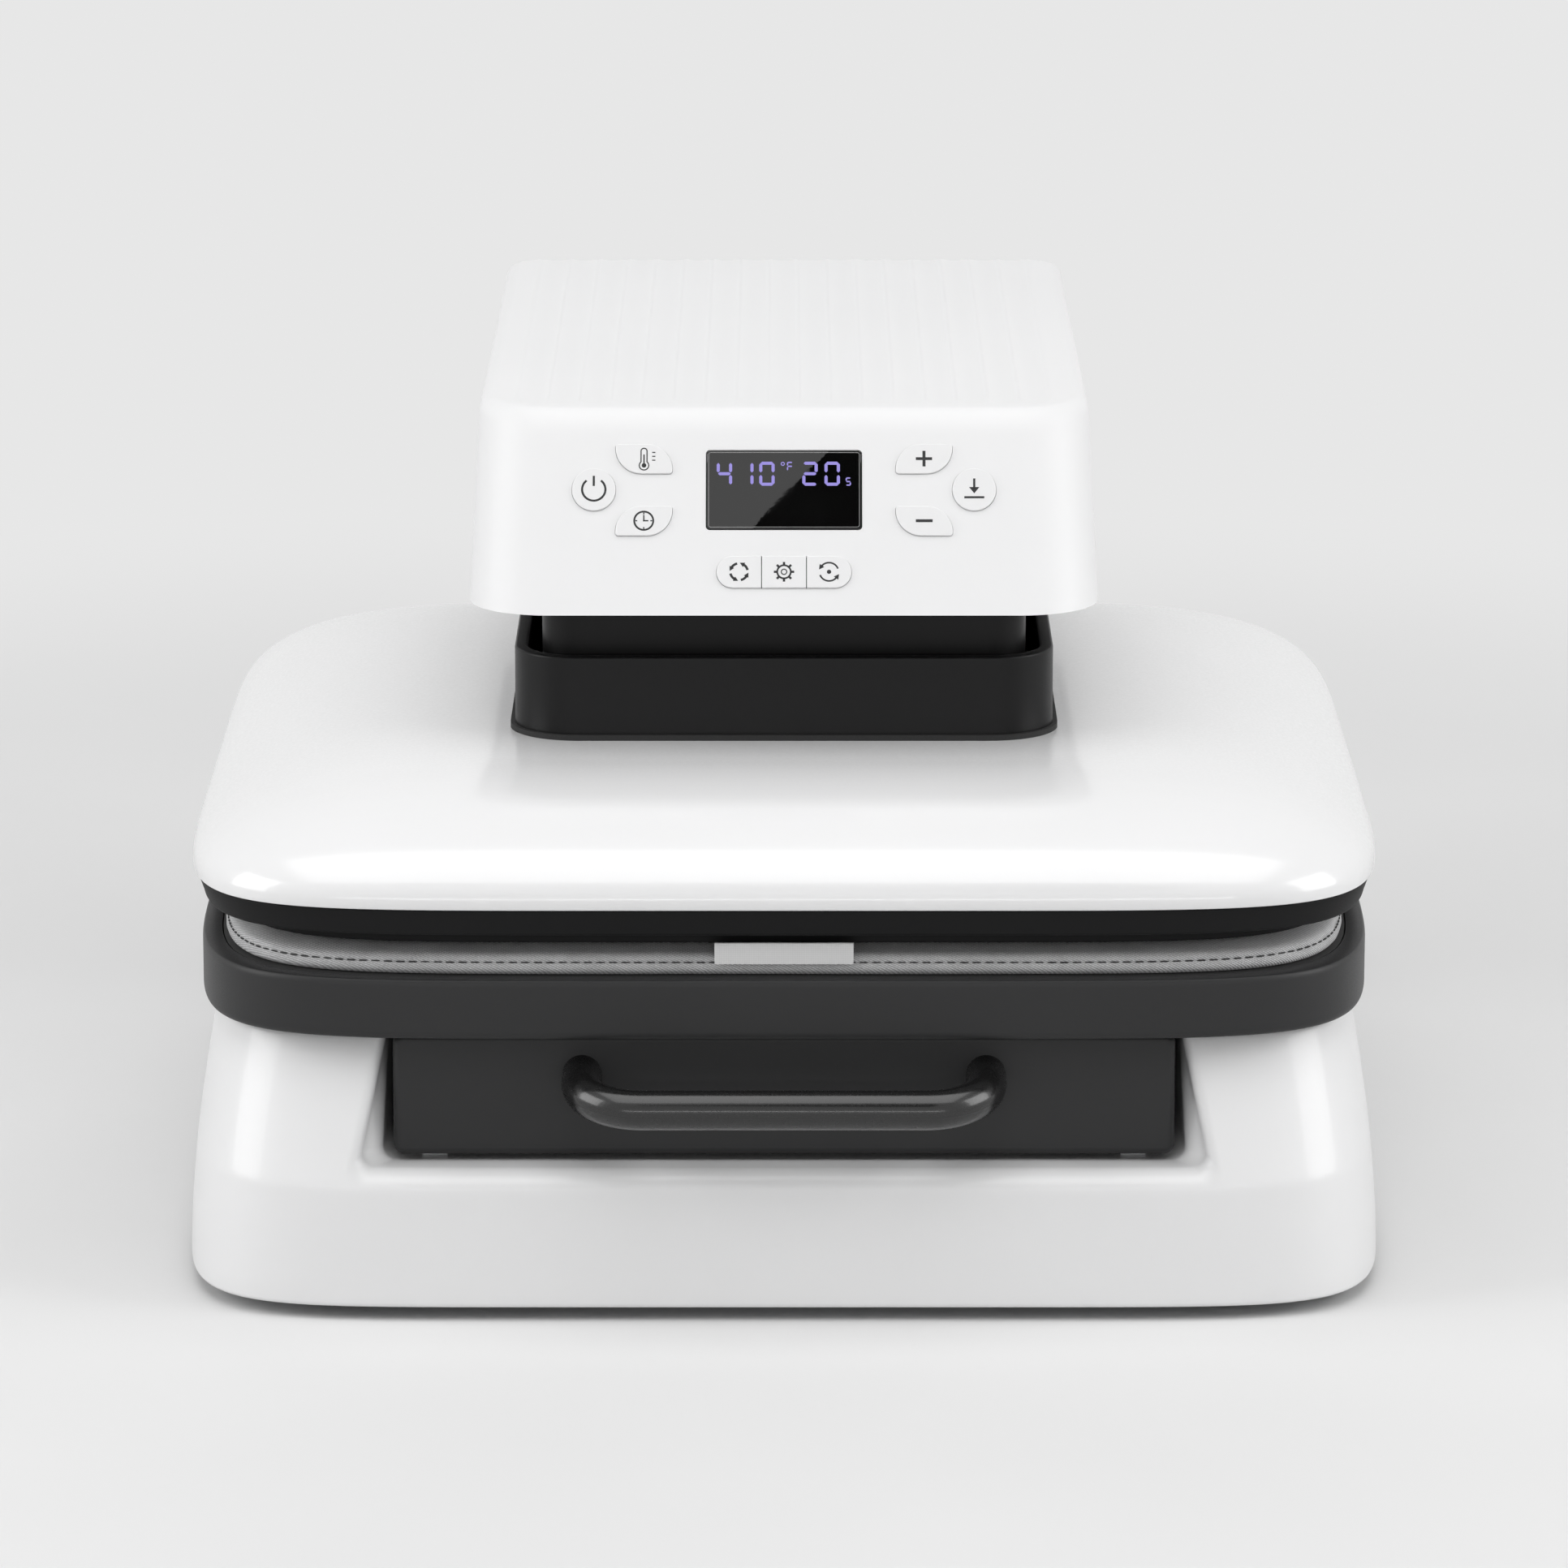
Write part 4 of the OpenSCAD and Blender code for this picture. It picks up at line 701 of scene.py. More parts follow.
def build_handle():
    half_w, _, _, _, top = extent("handle")
    leg_x, elbow = half_w - HANDLE_R, HANDLE_RUN - HANDLE_BEND
    s, c = sin(HANDLE_DROOP), cos(HANDLE_DROOP)
    foot_z = top - HANDLE_R * c
    # Each row of the path: across, out of the panel, and which way is outwards there
    path = [(leg_x, out, 1.0, 0.0) for out in HANDLE_LEG]
    path += [(leg_x + HANDLE_BEND * (u - 1), elbow + HANDLE_BEND * v, u, v)
             for u, v in arc_line(1.0, 0, 90, 18)[1:]]
    path += [(-x, out, -u, v) for x, out, u, v in reversed(path)]
    rings = []
    for x, out, u, v in path:
        ring = [(x + away * u, out + away * v, up) for away, up in handle_section()]
        rings.append([(px, DRAWER_Y0 - po * c - up * s, foot_z - po * s + up * c) for px, po, up in ring])
    place(mesh_piece("drawer_handle", loft(rings, caps=True), 60), "drawer", "handle_black", "handle")


# Mat

MAT_A, _, _, MAT_Z0, MAT_Z1 = extent("mat")
SEAM_Z, SEAM_INSET = (MAT_Z0 + MAT_Z1) / 2, 1.2
MAT_RING, MAT_FOOT = 256, 8.0
# Share of the height and inset, from the underside's edge past the seam to the crown
MAT_PROFILE = [
    (0.0, 3.4), (0.03, 2.1), (0.09, 1.2), (0.18, 0.5), (0.28, 0.3), (0.37, 0.4), (0.44, 0.7), (0.48, 1.0),
    (0.5, SEAM_INSET), (0.52, 1.0), (0.56, 0.6), (0.63, 0.4), (0.7, 0.5), (0.78, 1.1), (0.84, 2.0),
    (0.89, 3.6), (0.92, 5.8), (0.94, 10.0), (0.955, 18.0), (0.967, 30.0), (0.978, 46.0), (0.986, 66.0),
    (0.992, 90.0), (0.996, 118.0), (0.999, 150.0), (1.0, 180.0)]
SWELL_PRESSURE, SWELL_FRAMES = 4.0, 20
SWELL_OUT, SWELL_UP, MAT_TOP = 1.1, 0.5, 0.1
HELD_UNDER, HELD_SEAM = 0.2, 0.05  # points this near the underside or the seam are held
HEM, GATHER_H = 30.0, 2.6
GATHER, CORNER_GATHER, HEM_WAVE = 0.1, 0.32, 0.15
# Waves round the hem: of the folds, of their changing depth, of a second set of folds, of the slow wave
FOLDS, FOLD_CHANGES, CROSS_FOLDS, SLOW_WAVES = 173, 37, 91, 11
STITCH_L, STITCH_PITCH, STITCH_R, STITCH_OUT = 3.3, 4.5, 0.32, 0.15
STITCH_FORM = ((0.0, 0.3), (0.1, 0.8), (0.3, 1.0), (0.7, 1.0), (0.9, 0.8), (1.0, 0.3))  # along it, thickness


def swell(obj):
    """Cloth with pressure inside, held at its underside and its seam; each point may move only so far."""
    rest = np.empty(len(obj.data.vertices) * 3)
    obj.data.vertices.foreach_get("co", rest)
    held = obj.vertex_groups.new(name="held")
    for v in obj.data.vertices:
        if v.co.z / MM < MAT_Z0 + HELD_UNDER or abs(v.co.z / MM - SEAM_Z) < HELD_SEAM:
            held.add([v.index], 1.0, "REPLACE")
    cloth = obj.modifiers.new("swell", "CLOTH")
    cloth.settings.quality = 4
    cloth.settings.mass = 0.3
    cloth.settings.use_pressure = True
    cloth.settings.uniform_pressure_force = SWELL_PRESSURE
    cloth.settings.vertex_group_mass = "held"
    cloth.settings.effector_weights.gravity = 0.0
    cloth.collision_settings.use_collision = False
    cloth.point_cache.frame_start, cloth.point_cache.frame_end = 1, SWELL_FRAMES
    scene = bpy.context.scene
    for number in range(1, SWELL_FRAMES + 1):
        scene.frame_set(number)
    graph = bpy.context.evaluated_depsgraph_get()
    swollen = np.empty_like(rest)
    obj.evaluated_get(graph).data.vertices.foreach_get("co", swollen)
    obj.modifiers.clear()
    scene.frame_set(1)
    shift = (swollen - rest).reshape(-1, 3)
    aside = np.linalg.norm(shift[:, :2], axis=1, keepdims=True)
    shift[:, :2] *= np.minimum(1.0, SWELL_OUT * MM / np.maximum(aside, 1e-9))
    shift[:, 2] = np.clip(shift[:, 2], -SWELL_UP * MM, SWELL_UP * MM)
    obj.data.vertices.foreach_set("co", rest + shift.ravel())
    obj.vertex_groups.clear()


def gather_push(angle, near):
    """How far the hem is pushed out: gathers near the seam, more at the corners, a slow wave elsewhere."""
    corner = abs(sin(2 * angle)) ** 3
    folds = sin(FOLDS * angle) * sin(FOLD_CHANGES * angle + 1.3) + 0.6 * sin(CROSS_FOLDS * angle + 0.4)
    slow = HEM_WAVE * sin(SLOW_WAVES * angle + 0.8)
    return (GATHER + CORNER_GATHER * corner) * near * folds - slow * (1 - near)


def pucker(obj):
    """The seam gathers the hem, and the top stays under the plate."""
    for v in obj.data.vertices:
        x, y, z = v.co.x / MM, v.co.y / MM - PLATEN_Y, v.co.z / MM
        reach = max(abs(x), abs(y), 1.0)
        if reach > MAT_A - HEM:
            push = gather_push(atan2(y, x), exp(-((z - SEAM_Z) / GATHER_H) ** 2))
            v.co.x += push * x / reach * MM
            v.co.y += push * y / reach * MM
        v.co.z = min(v.co.z, (MAT_Z1 + MAT_TOP) * MM)


def fill_ends(obj):
    """Closes the flat middles of the mat's top and underside."""
    bm = bmesh.new()
    bm.from_mesh(obj.data)
    bmesh.ops.holes_fill(bm, edges=[e for e in bm.edges if e.is_boundary], sides=0)
    bmesh.ops.recalc_face_normals(bm, faces=bm.faces)
    bm.to_mesh(obj.data)
    bm.free()
    smooth(obj, 180)


def build_mat():
    unit = unit_square_ring(MAT_RING)
    profile = [(0.0, MAT_FOOT)] + MAT_PROFILE
    rings = [square_ring(MAT_A - inset, mix(MAT_Z0, MAT_Z1, share), unit=unit) for share, inset in profile]
    mat = mesh_piece("press_mat", loft(rings), 180)
    swell(mat)
    pucker(mat)
    mat.modifiers.new("rounding", "SUBSURF").levels = 1
    baked(mat, 180)
    fill_ends(mat)
    place(mat, "drawer", "mat_fabric", "mat")


def build_stitches():
    """Thread along the hem's seam: short rounded bars, each turned with the hem."""
    ring = np.array(square_ring(MAT_A - SEAM_INSET + STITCH_OUT, SEAM_Z, unit=unit_square_ring(2048)))
    x, y = np.vstack([ring, ring[:1]])[:, :2].T
    along = run_lengths(x, y)

    def seam_at(length):
        return np.array([np.interp(length, along, x), np.interp(length, along, y)])

    stitches = []
    count = round(along[-1] / STITCH_PITCH)
    for i in range(count):
        rings = []
        for share, size in STITCH_FORM:
            length = along[-1] * i / count + STITCH_L * share
            px, py = seam_at(length)
            way = seam_at(length + 1) - seam_at(length - 1)
            ux, uy = way / np.linalg.norm(way)
            rings.append([(px + uy * c, py - ux * c, SEAM_Z + up) for c, up in circle(STITCH_R * size, 6)])
        stitches.append(loft(rings, caps=True))
    place(mesh_piece("mat_seam", joined(stitches), 80), "drawer", "soft_black", surface=THREAD)


TAB_PLAY, TAB_SIDE = 0.1, 0.05
# The tape's wave: its depth at a height, and its turn in radians per millimetre
TAB_WAVE, TAB_WAVE_H, TAB_WAVE_TURN = 0.1, 8.0, 0.23


def build_tab():
    """Blank tape folded over and sewn into the front seam."""
    half_w, y0, y1, z0, z1 = extent("mat_tab")
    fold, mid = (y1 - y0) / 2 - TAB_PLAY, (y1 + y0) / 2
    top = z1 - fold
    leg = [(fold * (1 + u) / 2, mix(z0, top, u)) for u in np.linspace(0, 1, 9)]
    section = [(mid - away, z) for away, z in leg]
    section += [(mid - fold * cos(a), top + fold * sin(a)) for a in arc(12, 0, 180)[1:]]
    section += [(mid + away, z) for away, z in leg[-2::-1]]
    xs = np.linspace(TAB_SIDE - half_w, half_w - TAB_SIDE, 41)
    wave = [TAB_WAVE * sin(x * TAB_WAVE_TURN) for x in xs]
    rows = [[(x, y - w * (z - z0) / TAB_WAVE_H, z) for x, w in zip(xs, wave)] for y, z in section]
    tab = mesh_piece("seam_tab", sheet(rows), 180, closed=False)
    place(tab, "drawer", "tab_fabric", "mat_tab")


# Head

HEAD_A, HEAD_Y0, HEAD_Y1, HEAD_Z0, HEAD_Z1 = extent("head_cover")
HEAD_DRAFT, HEAD_WALL = 3.0, 2.5
HEAD_CORNER, HEAD_REAR_CORNER = 30.0, 18.0
TOP_R, FRONT_R, REAR_R = 5.5, 8.0, 20.0
LEAN = radians(27)
FLUTES, FLUTE_PITCH, FLUTE_DEPTH, FLUTE_COLUMNS = 17, 11.7, 1.4, 12
FLUTE_R = (FLUTE_PITCH ** 2 / 4 + FLUTE_DEPTH ** 2) / (2 * FLUTE_DEPTH)
FLUTE_Y0 = HEAD_Y0 + tan(LEAN) * (HEAD_Z1 - HEAD_Z0) + FRONT_R + 10
NEAR_SPAN, NEAR_ROWS, FAR_ROWS = 30.0, 26, 11  # rows along the top: close where the flutes begin, then wide
# Distances of the outer rings below the top, closer where the edges round
BELOW_TOP = (HEAD_Z1 - HEAD_Z0, 45.0, REAR_R, 17.0, 14.2, 11.6, 9.4, 8.0, 6.6, 5.5, 4.5, 3.6, 2.8, 2.1, 1.5,
             1.0, 0.6, 0.3, 0.1, 0.0)
INNER_BELOW_TOP = (HEAD_WALL + 0.6, 12.0, HEAD_Z1 - HEAD_Z0)


def edge_inset(radius, below):
    """How far an edge of that radius draws in, at a distance below the top."""
    return 0.0 if below >= radius else radius * round_in((radius - below) / radius)


def head_section(z, wall=0.0):
    """Half width, front, rear and the two corner radii of the head at a height."""
    below, up = HEAD_Z1 - wall - z, z - HEAD_Z0
    side = edge_inset(max(1.0, TOP_R - wall), below)
    half_w = HEAD_A - HEAD_DRAFT * up / (HEAD_Z1 - HEAD_Z0) - wall - side
    front = HEAD_Y0 + tan(LEAN) * up + wall / cos(LEAN) + edge_inset(FRONT_R - wall, below) / 2
    rear = HEAD_Y1 - wall - edge_inset(REAR_R - wall, below)
    return half_w, front, rear, HEAD_CORNER - wall - side, HEAD_REAR_CORNER - wall - side


HEAD_TOP = head_section(HEAD_Z1)


def fluted(x, y, z=HEAD_Z1):
    """A point of the head, lowered into the flute in which it lies."""
    middle = round(x / FLUTE_PITCH) * FLUTE_PITCH
    square = FLUTE_R ** 2 - (x - middle) ** 2 - min(0.0, y - FLUTE_Y0) ** 2
    if abs(middle) < FLUTE_PITCH * FLUTES / 2 and square > 0:
        z = min(z, HEAD_Z1 - FLUTE_DEPTH + FLUTE_R - sqrt(square))
    return x, y, z


def head_columns():
    """Places across the head's top: even over the flutes, closer towards the rounded sides."""
    half_w, _, _, corner, _ = HEAD_TOP
    half = FLUTES * FLUTE_PITCH / 2
    flutes = list(np.linspace(-half, half, FLUTES * FLUTE_COLUMNS + 1))
    start = degrees(asin((half - half_w + corner) / corner))
    border = [half_w - corner + corner * sin(a) for a in arc(9, start, 90)[1:]]
    return [-x for x in reversed(border)] + flutes + border


HEAD_COLUMNS = head_columns()


def head_edge(section, rear):
    """Points along the front or the rear of the head at one height, corners included."""
    end, radius = (2, 4) if rear else (1, 3)
    r, top_r = section[radius], HEAD_TOP[radius]
    flat, top_flat = section[0] - r, HEAD_TOP[0] - top_r
    points = []
    for x in HEAD_COLUMNS:
        over = abs(x) - top_flat
        if over <= 0:
            px, dip = x * flat / top_flat, 0.0
        else:
            u = min(1.0, over / top_r)
            px, dip = copysign(flat + r * u, x), r * round_in(u)
        points.append((px, section[end] - dip if rear else section[end] + dip))
    return points


def head_ring(z, shares, wall=0.0):
    """Ring of the head at a height: front, right side, rear, left side."""
    front, rear = (head_edge(head_section(z, wall), end) for end in (False, True))
    (x0, y0), (x1, y1) = front[-1], rear[-1]
    right = [(mix(x0, x1, t), mix(y0, y1, t)) for t in shares[1:-1]]
    left = [(-x, y) for x, y in reversed(right)]
    return [(x, y, z) for x, y in front + right + rear[::-1] + left]


# Panel of the head: x across, v up its slope

DISPLAY_V, DISPLAY_W, DISPLAY_H, DISPLAY_R = 47.96, 57.7, 30.7, 1.5
ROUND_X, ROUND_R = 70.2, 8.1
LEAF_X, LEAF_V1, LEAF_V0, LEAF_W, LEAF_H, LEAF_TIP, LEAF_FLAT = 51.7, 59.76, 35.96, 21.0, 11.3, 1.2, 0.5
PILL_V, PILL_W, PILL_H, PILL_GAP = 16.46, 49.7, 12.1, 0.15
KEY_PROUD, KEY_GAP, HOLE_GAP, KEY_EDGE = 0.8, 0.3, 0.14, 0.28
KEY_LIP, KEY_LIP_T = 1.5, 1.2
PANE_PLAY, PANE_R, PANE_PROUD = 0.3, 1.4, 0.3
PANE_EDGE = ((0.0, 0.1), (0.06, 0.24), (0.2, PANE_PROUD))  # the pane's rounded edge: inset, height
BORDER_INSET, BORDER_R, BORDER_W = 0.75, 0.8, 0.18


def round_shape(grown):
    return circle(ROUND_R + grown, 64)


def leaf_shape(grown, flip):
    """Leaf with two small and two wide corners, turned over where flip is -1."""
    tip, wide = LEAF_TIP + grown, LEAF_H - LEAF_TIP - LEAF_FLAT + grown
    loop = corner_outline(LEAF_W / 2 + grown, LEAF_H / 2 + grown, (tip, wide, tip, wide), 12)
    return [(x, flip * v) for x, v in loop][::flip]


def third_shape(grown, side):
    """A third of the pill: its middle, or its left or right end."""
    h, inner = PILL_H / 2 + grown, PILL_W / 6 - PILL_GAP
    if side == 0:
        return [(-inner, -h), (inner, -h), (inner, h), (-inner, h)]
    end = moved(arc_line(h, -90, 90, 24), PILL_W / 6 - PILL_H / 2, 0.0)
    return [(side * x, v) for x, v in [(-inner, -h), *end, (-inner, h)]][::side]


# Each key's middle, its shape and which form of it
KEYS = {
    "power_key": ((-ROUND_X, DISPLAY_V), round_shape), "start_key": ((ROUND_X, DISPLAY_V), round_shape),
    "temperature_key": ((-LEAF_X, LEAF_V1), leaf_shape, 1),
    "timer_key": ((-LEAF_X, LEAF_V0), leaf_shape, -1),
    "plus_key": ((LEAF_X, LEAF_V1), leaf_shape, -1), "minus_key": ((LEAF_X, LEAF_V0), leaf_shape, 1),
    "cycle_key": ((-PILL_W / 3, PILL_V), third_shape, -1), "settings_key": ((0.0, PILL_V), third_shape, 0),
    "auto_key": ((PILL_W / 3, PILL_V), third_shape, 1),
}


def key_outline(name, grown):
    middle, shape, *form = KEYS[name]
    return moved(shape(grown, *form), *middle)


def on_panel(x, v, out):
    """A point of the leaning panel: across, up the slope and out of it."""
    s, c = sin(LEAN), cos(LEAN)
    return (x, HEAD_Y0 + v * s - out * c, HEAD_Z0 + v * c + out * s)


def prism(outlines):
    """Closed loft on the panel through (outline, height) pairs."""
    return loft([[on_panel(x, v, out) for x, v in outline] for outline, out in outlines], caps=True)


def panel_holes():
    """Solid to cut from the panel: holes for the round keys, the leaves, the pill and the display."""
    half = PILL_H / 2 + HOLE_GAP
    outlines = [key_outline(name, HOLE_GAP) for name, row in KEYS.items() if row[1] is not third_shape]
    outlines.append(moved(rect_outline(PILL_W / 2 + HOLE_GAP, half, half - 0.01, 24), 0.0, PILL_V))
    outlines.append(moved(rect_outline(DISPLAY_W / 2, DISPLAY_H / 2, DISPLAY_R, 6), 0.0, DISPLAY_V))
    return mesh_piece("panel_holes", joined([prism([(o, -HEAD_WALL - 1), (o, 1.0)]) for o in outlines]))


def build_head():
    span = HEAD_TOP[2] - HEAD_TOP[1]
    near = [y / span for y in np.linspace(0.0, NEAR_SPAN, NEAR_ROWS + 1)]
    shares = near + list(np.linspace(near[-1], 1.0, FAR_ROWS + 1)[1:])
    inner = [head_ring(HEAD_Z1 - below, shares, HEAD_WALL) for below in INNER_BELOW_TOP]
    outer = [[fluted(*p) for p in head_ring(HEAD_Z1 - below, shares)] for below in BELOW_TOP]
    ends = list(zip(head_edge(HEAD_TOP, False), head_edge(HEAD_TOP, True)))
    top = [[fluted(mix(x0, x1, t), mix(y0, y1, t)) for (x0, y0), (x1, y1) in ends] for t in shares]
    head = mesh_piece("head_housing", joined([loft(inner + outer), cap(inner[0]), sheet(top)]), 60)
    holes = panel_holes()
    cut = head.modifiers.new("holes", "BOOLEAN")
    cut.operation, cut.solver, cut.object = "DIFFERENCE", "EXACT", holes
    baked(head, 60)
    bpy.data.objects.remove(holes)
    place(head, "root", "white_satin", "head_cover")


def build_keys():
    back = -HEAD_WALL - KEY_GAP
    profile = [(KEY_LIP, back - KEY_LIP_T), (KEY_LIP, back), (0.0, back)]
    profile += quarter((0.0, KEY_PROUD - KEY_EDGE), (-KEY_EDGE, KEY_PROUD), 5, upright=True)
    for name in KEYS:
        shape = prism([(key_outline(name, grown), out) for grown, out in profile])
        place(mesh_piece(name.replace("key", "cap"), shape, 8), name + "_body", "key_white", name)


def build_display():
    half_w, half_h = DISPLAY_W / 2 - PANE_PLAY, DISPLAY_H / 2 - PANE_PLAY

    def outline(inset, radius):
        return moved(rect_outline(half_w - inset, half_h - inset, radius, 8), 0.0, DISPLAY_V)

    shape = prism([(outline(i, PANE_R - i), out) for i, out in ((0.0, -HEAD_WALL), *PANE_EDGE)])
    place(mesh_piece("display_pane", shape, 8), "root", "display_glass", "display_window")
    # A light grey line just inside the pane's edge: painted highlight of its bevel
    line = stroke(outline(BORDER_INSET, BORDER_R), BORDER_W, True)
    panel_print("display_frame", "root", line, PANE_PROUD, "display_glass", BORDER_HIGHLIGHT)


# Printed marks on the panel, as thin raised polygons

PRINT_T = 0.04


def stroke(line, width, closed=False):
    """Quads of a line of some width."""
    line = [np.array(p, float) for p in line]
    sides = []
    for i, p in enumerate(line):
        before = line[i - 1] if closed or i > 0 else p
        after = line[(i + 1) % len(line)] if closed or i < len(line) - 1 else p
        way = (after - before) / max(np.linalg.norm(after - before), 1e-9)
        normal = np.array([-way[1], way[0]]) * width / 2
        sides.append((p + normal, p - normal))
    pairs = zip(sides, sides[1:] + sides[:1] if closed else sides[1:])
    return [[a[1], b[1], b[0], a[0]] for a, b in pairs]


def bar(x0, y0, x1, y1, width):
    return stroke([(x0, y0), (x1, y1)], width)


def spokes(inner, outer, count, width):
    return [quad for ends in zip(circle(inner, count), circle(outer, count)) for quad in stroke(ends, width)]


def arrow(r, start, end, steps, width, head):
    """An arc with a triangle at its end."""
    a = radians(end)
    out, way = np.array([cos(a), sin(a)]), np.array([-sin(a), cos(a)])
    foot, aside = out * r - way * 0.3 * head, out * head * 0.7
    tip = [foot - aside, foot + aside, out * r + way * head]
    return stroke(arc_line(r, start, end, steps), width) + [tip]


def panel_print(name, body, polygons, out, slot, surface):
    """Flat polygons on the panel as one thin piece."""
    shapes = []
    for polygon in polygons:
        area = sum(a[0] * b[1] - b[0] * a[1] for a, b in zip(polygon, polygon[1:] + polygon[:1]))
        loop = polygon if area > 0 else polygon[::-1]
        rings = [[on_panel(x, v, level) for x, v in loop] for level in (out - PRINT_T, out + PRINT_T)]
        shapes += [loft(rings), cap(rings[1])]
    place(mesh_piece(name, joined(shapes), 30, closed=False), body, slot, surface=surface)


def icons():
    """Generic signs around each key's middle: bars by both ends and width, arcs by radius and degrees."""
    tube = moved(arc_line(1.1, 0, 180, 12), 0.0, 2.9) + moved(arc_line(1.75, 129, 411, 24), 0.0, -2.6)
    marks = [quad for v in (2.4, 0.9, -0.6) for quad in bar(3.0, v, 4.2, v, 0.4)]
    hands = bar(0, -0.275, 0, 2.2, 0.5) + bar(-0.275, 0, 1.7, 0, 0.5)
    return {
        "power_key": stroke(arc_line(4.3, 128, 412, 48), 0.78) + bar(0, 1.3, 0, 5.2, 0.78),
        "start_key": bar(0, 4.2, 0, 0.3, 0.8) + [[(-1.9, 0.9), (0.0, -1.5), (1.9, 0.9)]]
        + bar(-3.7, -3.0, 3.7, -3.0, 0.8),
        "temperature_key": stroke(tube, 0.42, True) + bar(0, -2.2, 0, 1.6, 0.5)
        + [moved(circle(0.85, 24), 0.0, -2.6)] + marks,
        "timer_key": stroke(circle(3.5, 48), 0.68, True) + spokes(0.78 * 3.1, 3.1, 4, 0.45) + hands,
        "plus_key": bar(-3.0, 0, 3.0, 0, 1.1) + bar(0, -3.0, 0, -0.55, 1.1) + bar(0, 0.55, 0, 3.0, 1.1),
        "minus_key": bar(-3.1, 0, 3.1, 0, 1.1),
        "cycle_key": [q for d in (0, 90, 180, 270) for q in arrow(3.2, d + 12, d + 62, 10, 0.9, 1.35)],
        "settings_key": stroke(circle(2.5, 48), 0.66, True) + spokes(2.7, 3.75, 8, 0.85)
        + stroke(circle(1.0, 24), 0.4, True),
        "auto_key": [circle(0.8, 24)]
        + [q for d in (20, 200) for q in arrow(3.5, d, d + 124, 20, 0.62, 1.45)],
    }


def build_icons():
    for name, polygons in icons().items():
        on_key = [moved(polygon, *KEYS[name][0]) for polygon in polygons]
        panel_print(name.replace("key", "sign"), name + "_body", on_key, KEY_PROUD, "module_black", INK)


DIGIT_H = 9.2
DIGIT = (0.0, 5.7, DIGIT_H, 1.15)
# Each sign's left edge in the display, how far its foot is raised, its width, height and thickness
READING = (("4", 4.0, *DIGIT), ("1", 11.9, *DIGIT), ("0", 19.7, *DIGIT),
           ("2", 35.6, *DIGIT), ("0", 43.8, *DIGIT),
           ("F", 29.9, DIGIT_H - 3.5, 2.2, 3.5, 0.5), ("S", 51.6, 0.0, 2.0, 3.2, 0.5))
READING_TOP, SEGMENT_END = DISPLAY_V + DISPLAY_H / 2 - 4.6, 0.42
DEGREE_X, DEGREE_DROP, DEGREE_R, DEGREE_T = 28.4, 0.8, 0.6, 0.35
SEGMENTS = {"0": "abcdef", "1": "bc", "2": "abged", "4": "fgbc", "F": "aefg", "S": "afgcd"}


def segment_digit(sign, x, v, width, height, thick):
    """One sign of seven segments with its lower left corner at (x, v)."""
    t, half = thick / 2, height / 2
    lying = {"d": 0.0, "g": half, "a": height}
    standing = {"e": (0.0, 0.0), "f": (0.0, half), "c": (width, 0.0), "b": (width, half)}
    loops = []
    for letter in SEGMENTS[sign]:
        low, high = SEGMENT_END * thick, (width if letter in lying else half) - SEGMENT_END * thick
        loop = [(low, 0), (low + t, -t), (high - t, -t), (high, 0), (high - t, t), (low + t, t)]
        # The sign's outer segments are drawn in by half their thickness
        if letter in lying:
            up = lying[letter]
            loops.append(moved(loop, x, v + up + t * (1 - up / half)))
        else:
            across, up = standing[letter]
            loops.append(moved([(b, a) for a, b in loop], x + across + t * (1 - 2 * across / width), v + up))
    return loops


def build_digits():
    left, foot = -DISPLAY_W / 2, READING_TOP - DIGIT_H
    loops = []
    for sign, x, rise, *size in READING:
        loops += segment_digit(sign, left + x, foot + rise, *size)
    loops += stroke(moved(circle(DEGREE_R, 12), left + DEGREE_X, READING_TOP - DEGREE_DROP), DEGREE_T, True)
    panel_print("display_reading", "root", loops, PANE_PROUD, "display_glass", DIGITS)


# Carried-over CAD nodes

SOFT_EDGES = {"column_cover": 0.8, "inner_shroud": 0.5, "head_pan": 0.4, "power_inlet": 0.4,
              "collar_gasket": 0.5, "feet": 0.8, "heat_plate": 0.6, "drawer_carriage": 0.5}


def dress_nodes():
    """Every CAD node gets the material of its slot, the inner shroud a darker charcoal as painted shade, and
    soft edges where it is seen.
    """
    slots = {row["node"]: row["material_slot"] for row in frame["record"]["subparts"]}
    for name, node in frame["nodes"].items():
        node.data.materials.clear()
        # The inner shroud takes the darker copy of charcoal: painted shade
        surface = CHARCOAL_SHADED if name == "inner_shroud" else SURFACES[slots[name]]
        node.data.materials.append(surface.material)
        if name in SOFT_EDGES:
            bevel = node.modifiers.new("soft_edges", "BEVEL")
            bevel.width, bevel.segments = SOFT_EDGES[name] * MM, 3
            bevel.limit_method, bevel.angle_limit = "ANGLE", radians(50)
            bevel.harden_normals = True


# Stage, light and camera, in metres

CAMERA_AT, CAMERA_TILT, CAMERA_LENS = (0.0, -2.946884, 0.8377), 76.7, 179.7
FADE_FROM, FADE_TO = 0.55, 1.25  # distances over which the floor fades to the white that surrounds the press
SURROUND, WORLD_LIGHT = 0.8, 0.22
FLOOR_REACH = 9.0
MIDDLE = (0.0, 0.0, 0.15)
CARD_SIZE, CARD_AWAY, CARD_SHIFT = 0.6, 2.2, 2.0


def surround_rays(nodes):
    """1 for the rays that see the white surround: from the camera, mirrored or through glass."""
    rays = nodes.node("ShaderNodeLightPath").outputs
    seen = nodes.math("ADD", rays["Is Camera Ray"], rays["Is Glossy Ray"], use_clamp=True)
    return nodes.math("ADD", seen, rays["Is Transmission Ray"], use_clamp=True)


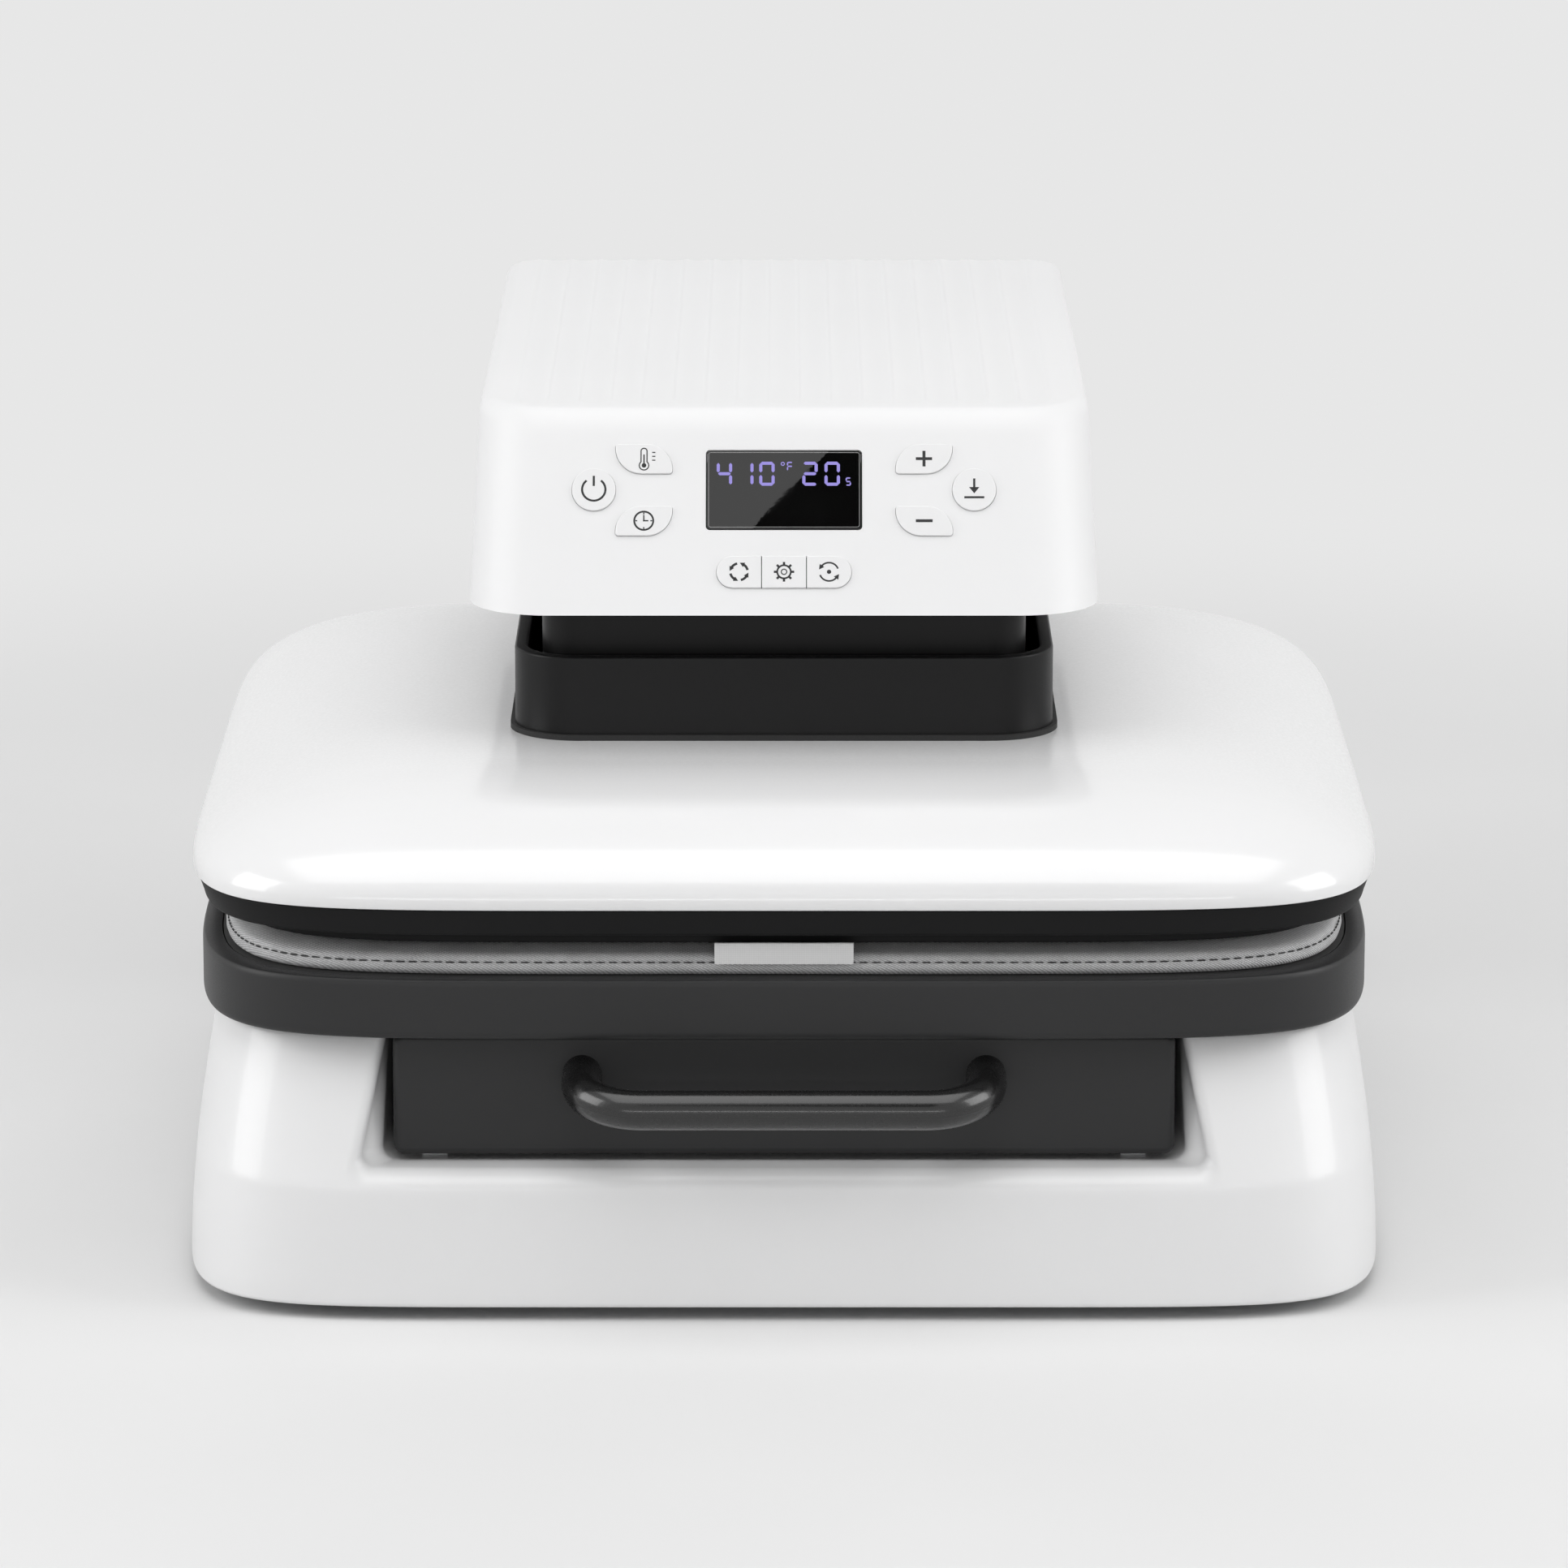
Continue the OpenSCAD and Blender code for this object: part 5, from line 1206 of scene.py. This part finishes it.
def floor_surface():
    """Pale matt floor near the press, the white surround far from it."""
    surface = Surface("floor", 0.9, Specular_IOR_Level=0.0)
    surface.colored(surface.noise(4, 2), rgb(1.0), 0.76, 0.78)
    surface.bump(surface.noise(400, 2), 0.01)
    away = surface.node("ShaderNodeVectorMath", surface.coordinates, operation="LENGTH").outputs["Value"]
    far = surface.spread(away, 0.0, 1.0, (FADE_FROM, FADE_TO), interpolation_type="SMOOTHSTEP")
    glow = surface.node("ShaderNodeEmission", Strength=SURROUND).outputs["Emission"]
    both = surface.node("ShaderNodeMixShader", surface.times(far, surround_rays(surface)),
                        surface.shader.outputs["BSDF"], glow)
    surface.feed(surface.tree.nodes["Material Output"].inputs["Surface"], both.outputs["Shader"])
    return surface


def stage_quad(name, corners, surface):
    """A flat piece of the stage."""
    mesh = bpy.data.meshes.new(name)
    mesh.from_pydata(corners, [], [(0, 1, 2, 3)])
    mesh.materials.append(surface.material)
    quad = added(name, mesh)
    return quad


def build_floor():
    signs = ((-1, -1), (1, -1), (1, 1), (-1, 1))
    corners = [(sx * FLOOR_REACH, sy * FLOOR_REACH, 0) for sx, sy in signs]
    stage_quad("studio_floor", corners, floor_surface())


def build_dark_card():
    """Black card above the camera, whose slanting edge the display mirrors from corner to corner."""
    middle = Vector(at(*on_panel(CARD_SHIFT, DISPLAY_V, PANE_PROUD)))
    normal = Vector((0.0, -cos(LEAN), sin(LEAN)))
    seen = (middle - Vector(CAMERA_AT)).normalized()
    mirrored = seen - 2 * seen.dot(normal) * normal
    across = Vector((1.0, 0.0, 0.0))
    up = across.cross(-mirrored).normalized()
    along, aside = (across + up).normalized() * CARD_SIZE / 2, (across - up).normalized() * CARD_SIZE
    edge = middle + mirrored * CARD_AWAY
    black = Surface("card_black", 1.0, Base_Color=rgb(0.0), Specular_IOR_Level=0.0)
    corners = [edge - along, edge + along, edge + along + aside, edge - along + aside]
    card = stage_quad("dark_card", corners, black)
    card.visible_camera = card.visible_diffuse = card.visible_shadow = False


def softbox(name, place_at, target, width, height, power, mirrored=True):
    """Rectangular lamp that looks at a point, with its power in watts."""
    lamp = bpy.data.lights.new(name, "AREA")
    lamp.shape, lamp.size, lamp.size_y, lamp.energy = "RECTANGLE", width, height, power
    obj = added(name, lamp)
    obj.location = place_at
    obj.rotation_euler = (Vector(target) - Vector(place_at)).to_track_quat("-Z", "Y").to_euler()
    obj.visible_camera, obj.visible_glossy = False, mirrored


def build_lamps():
    softbox("top_box", (0.0, -0.55, 2.4), MIDDLE, 2.8, 2.2, 34)
    # The base's bends mirror this thin strip as bright lines, and its flat faces don't
    softbox("front_strip", (0.0, -3.4, 0.58), (0.0, 0.0, 0.07), 3.2, 0.12, 8.5)
    for side in (-1, 1):
        softbox("side_box", (side * 2.4, -0.6, 1.2), MIDDLE, 1.6, 1.6, 30)
    softbox("key_box", (0.0, -2.0, 1.9), MIDDLE, 0.6, 0.6, 5, mirrored=False)
    softbox("rear_box", (0.0, 2.6, 1.7), MIDDLE, 2.4, 1.0, 9, mirrored=False)


def build_world():
    """Weak even light, and a white surround for the rays that see it."""
    world = bpy.data.worlds.new("studio")
    bpy.context.scene.world = world
    world.use_nodes = True
    nodes = Nodes(world.node_tree)
    level = nodes.node("ShaderNodeMapRange", Value=surround_rays(nodes), To_Min=WORLD_LIGHT, To_Max=SURROUND)
    back = world.node_tree.nodes["Background"].inputs
    back["Color"].default_value = rgb(1.0)
    nodes.feed(back["Strength"], level.outputs["Result"])


def build_camera():
    data = bpy.data.cameras.new("camera")
    data.lens, data.sensor_width = CAMERA_LENS, 36.0
    camera = added("camera", data)
    camera.location = CAMERA_AT
    camera.rotation_euler = (radians(CAMERA_TILT), 0.0, 0.0)
    bpy.context.scene.camera = camera
    bpy.context.scene.view_settings.view_transform = "Standard"


dress_nodes()
build_base()
build_cover()
build_rim()
build_collar()
build_tray()
build_drawer_front()
build_handle()
build_mat()
build_stitches()
build_tab()
build_head()
build_keys()
build_display()
build_icons()
build_digits()
build_floor()
build_lamps()
build_dark_card()
build_world()
build_camera()
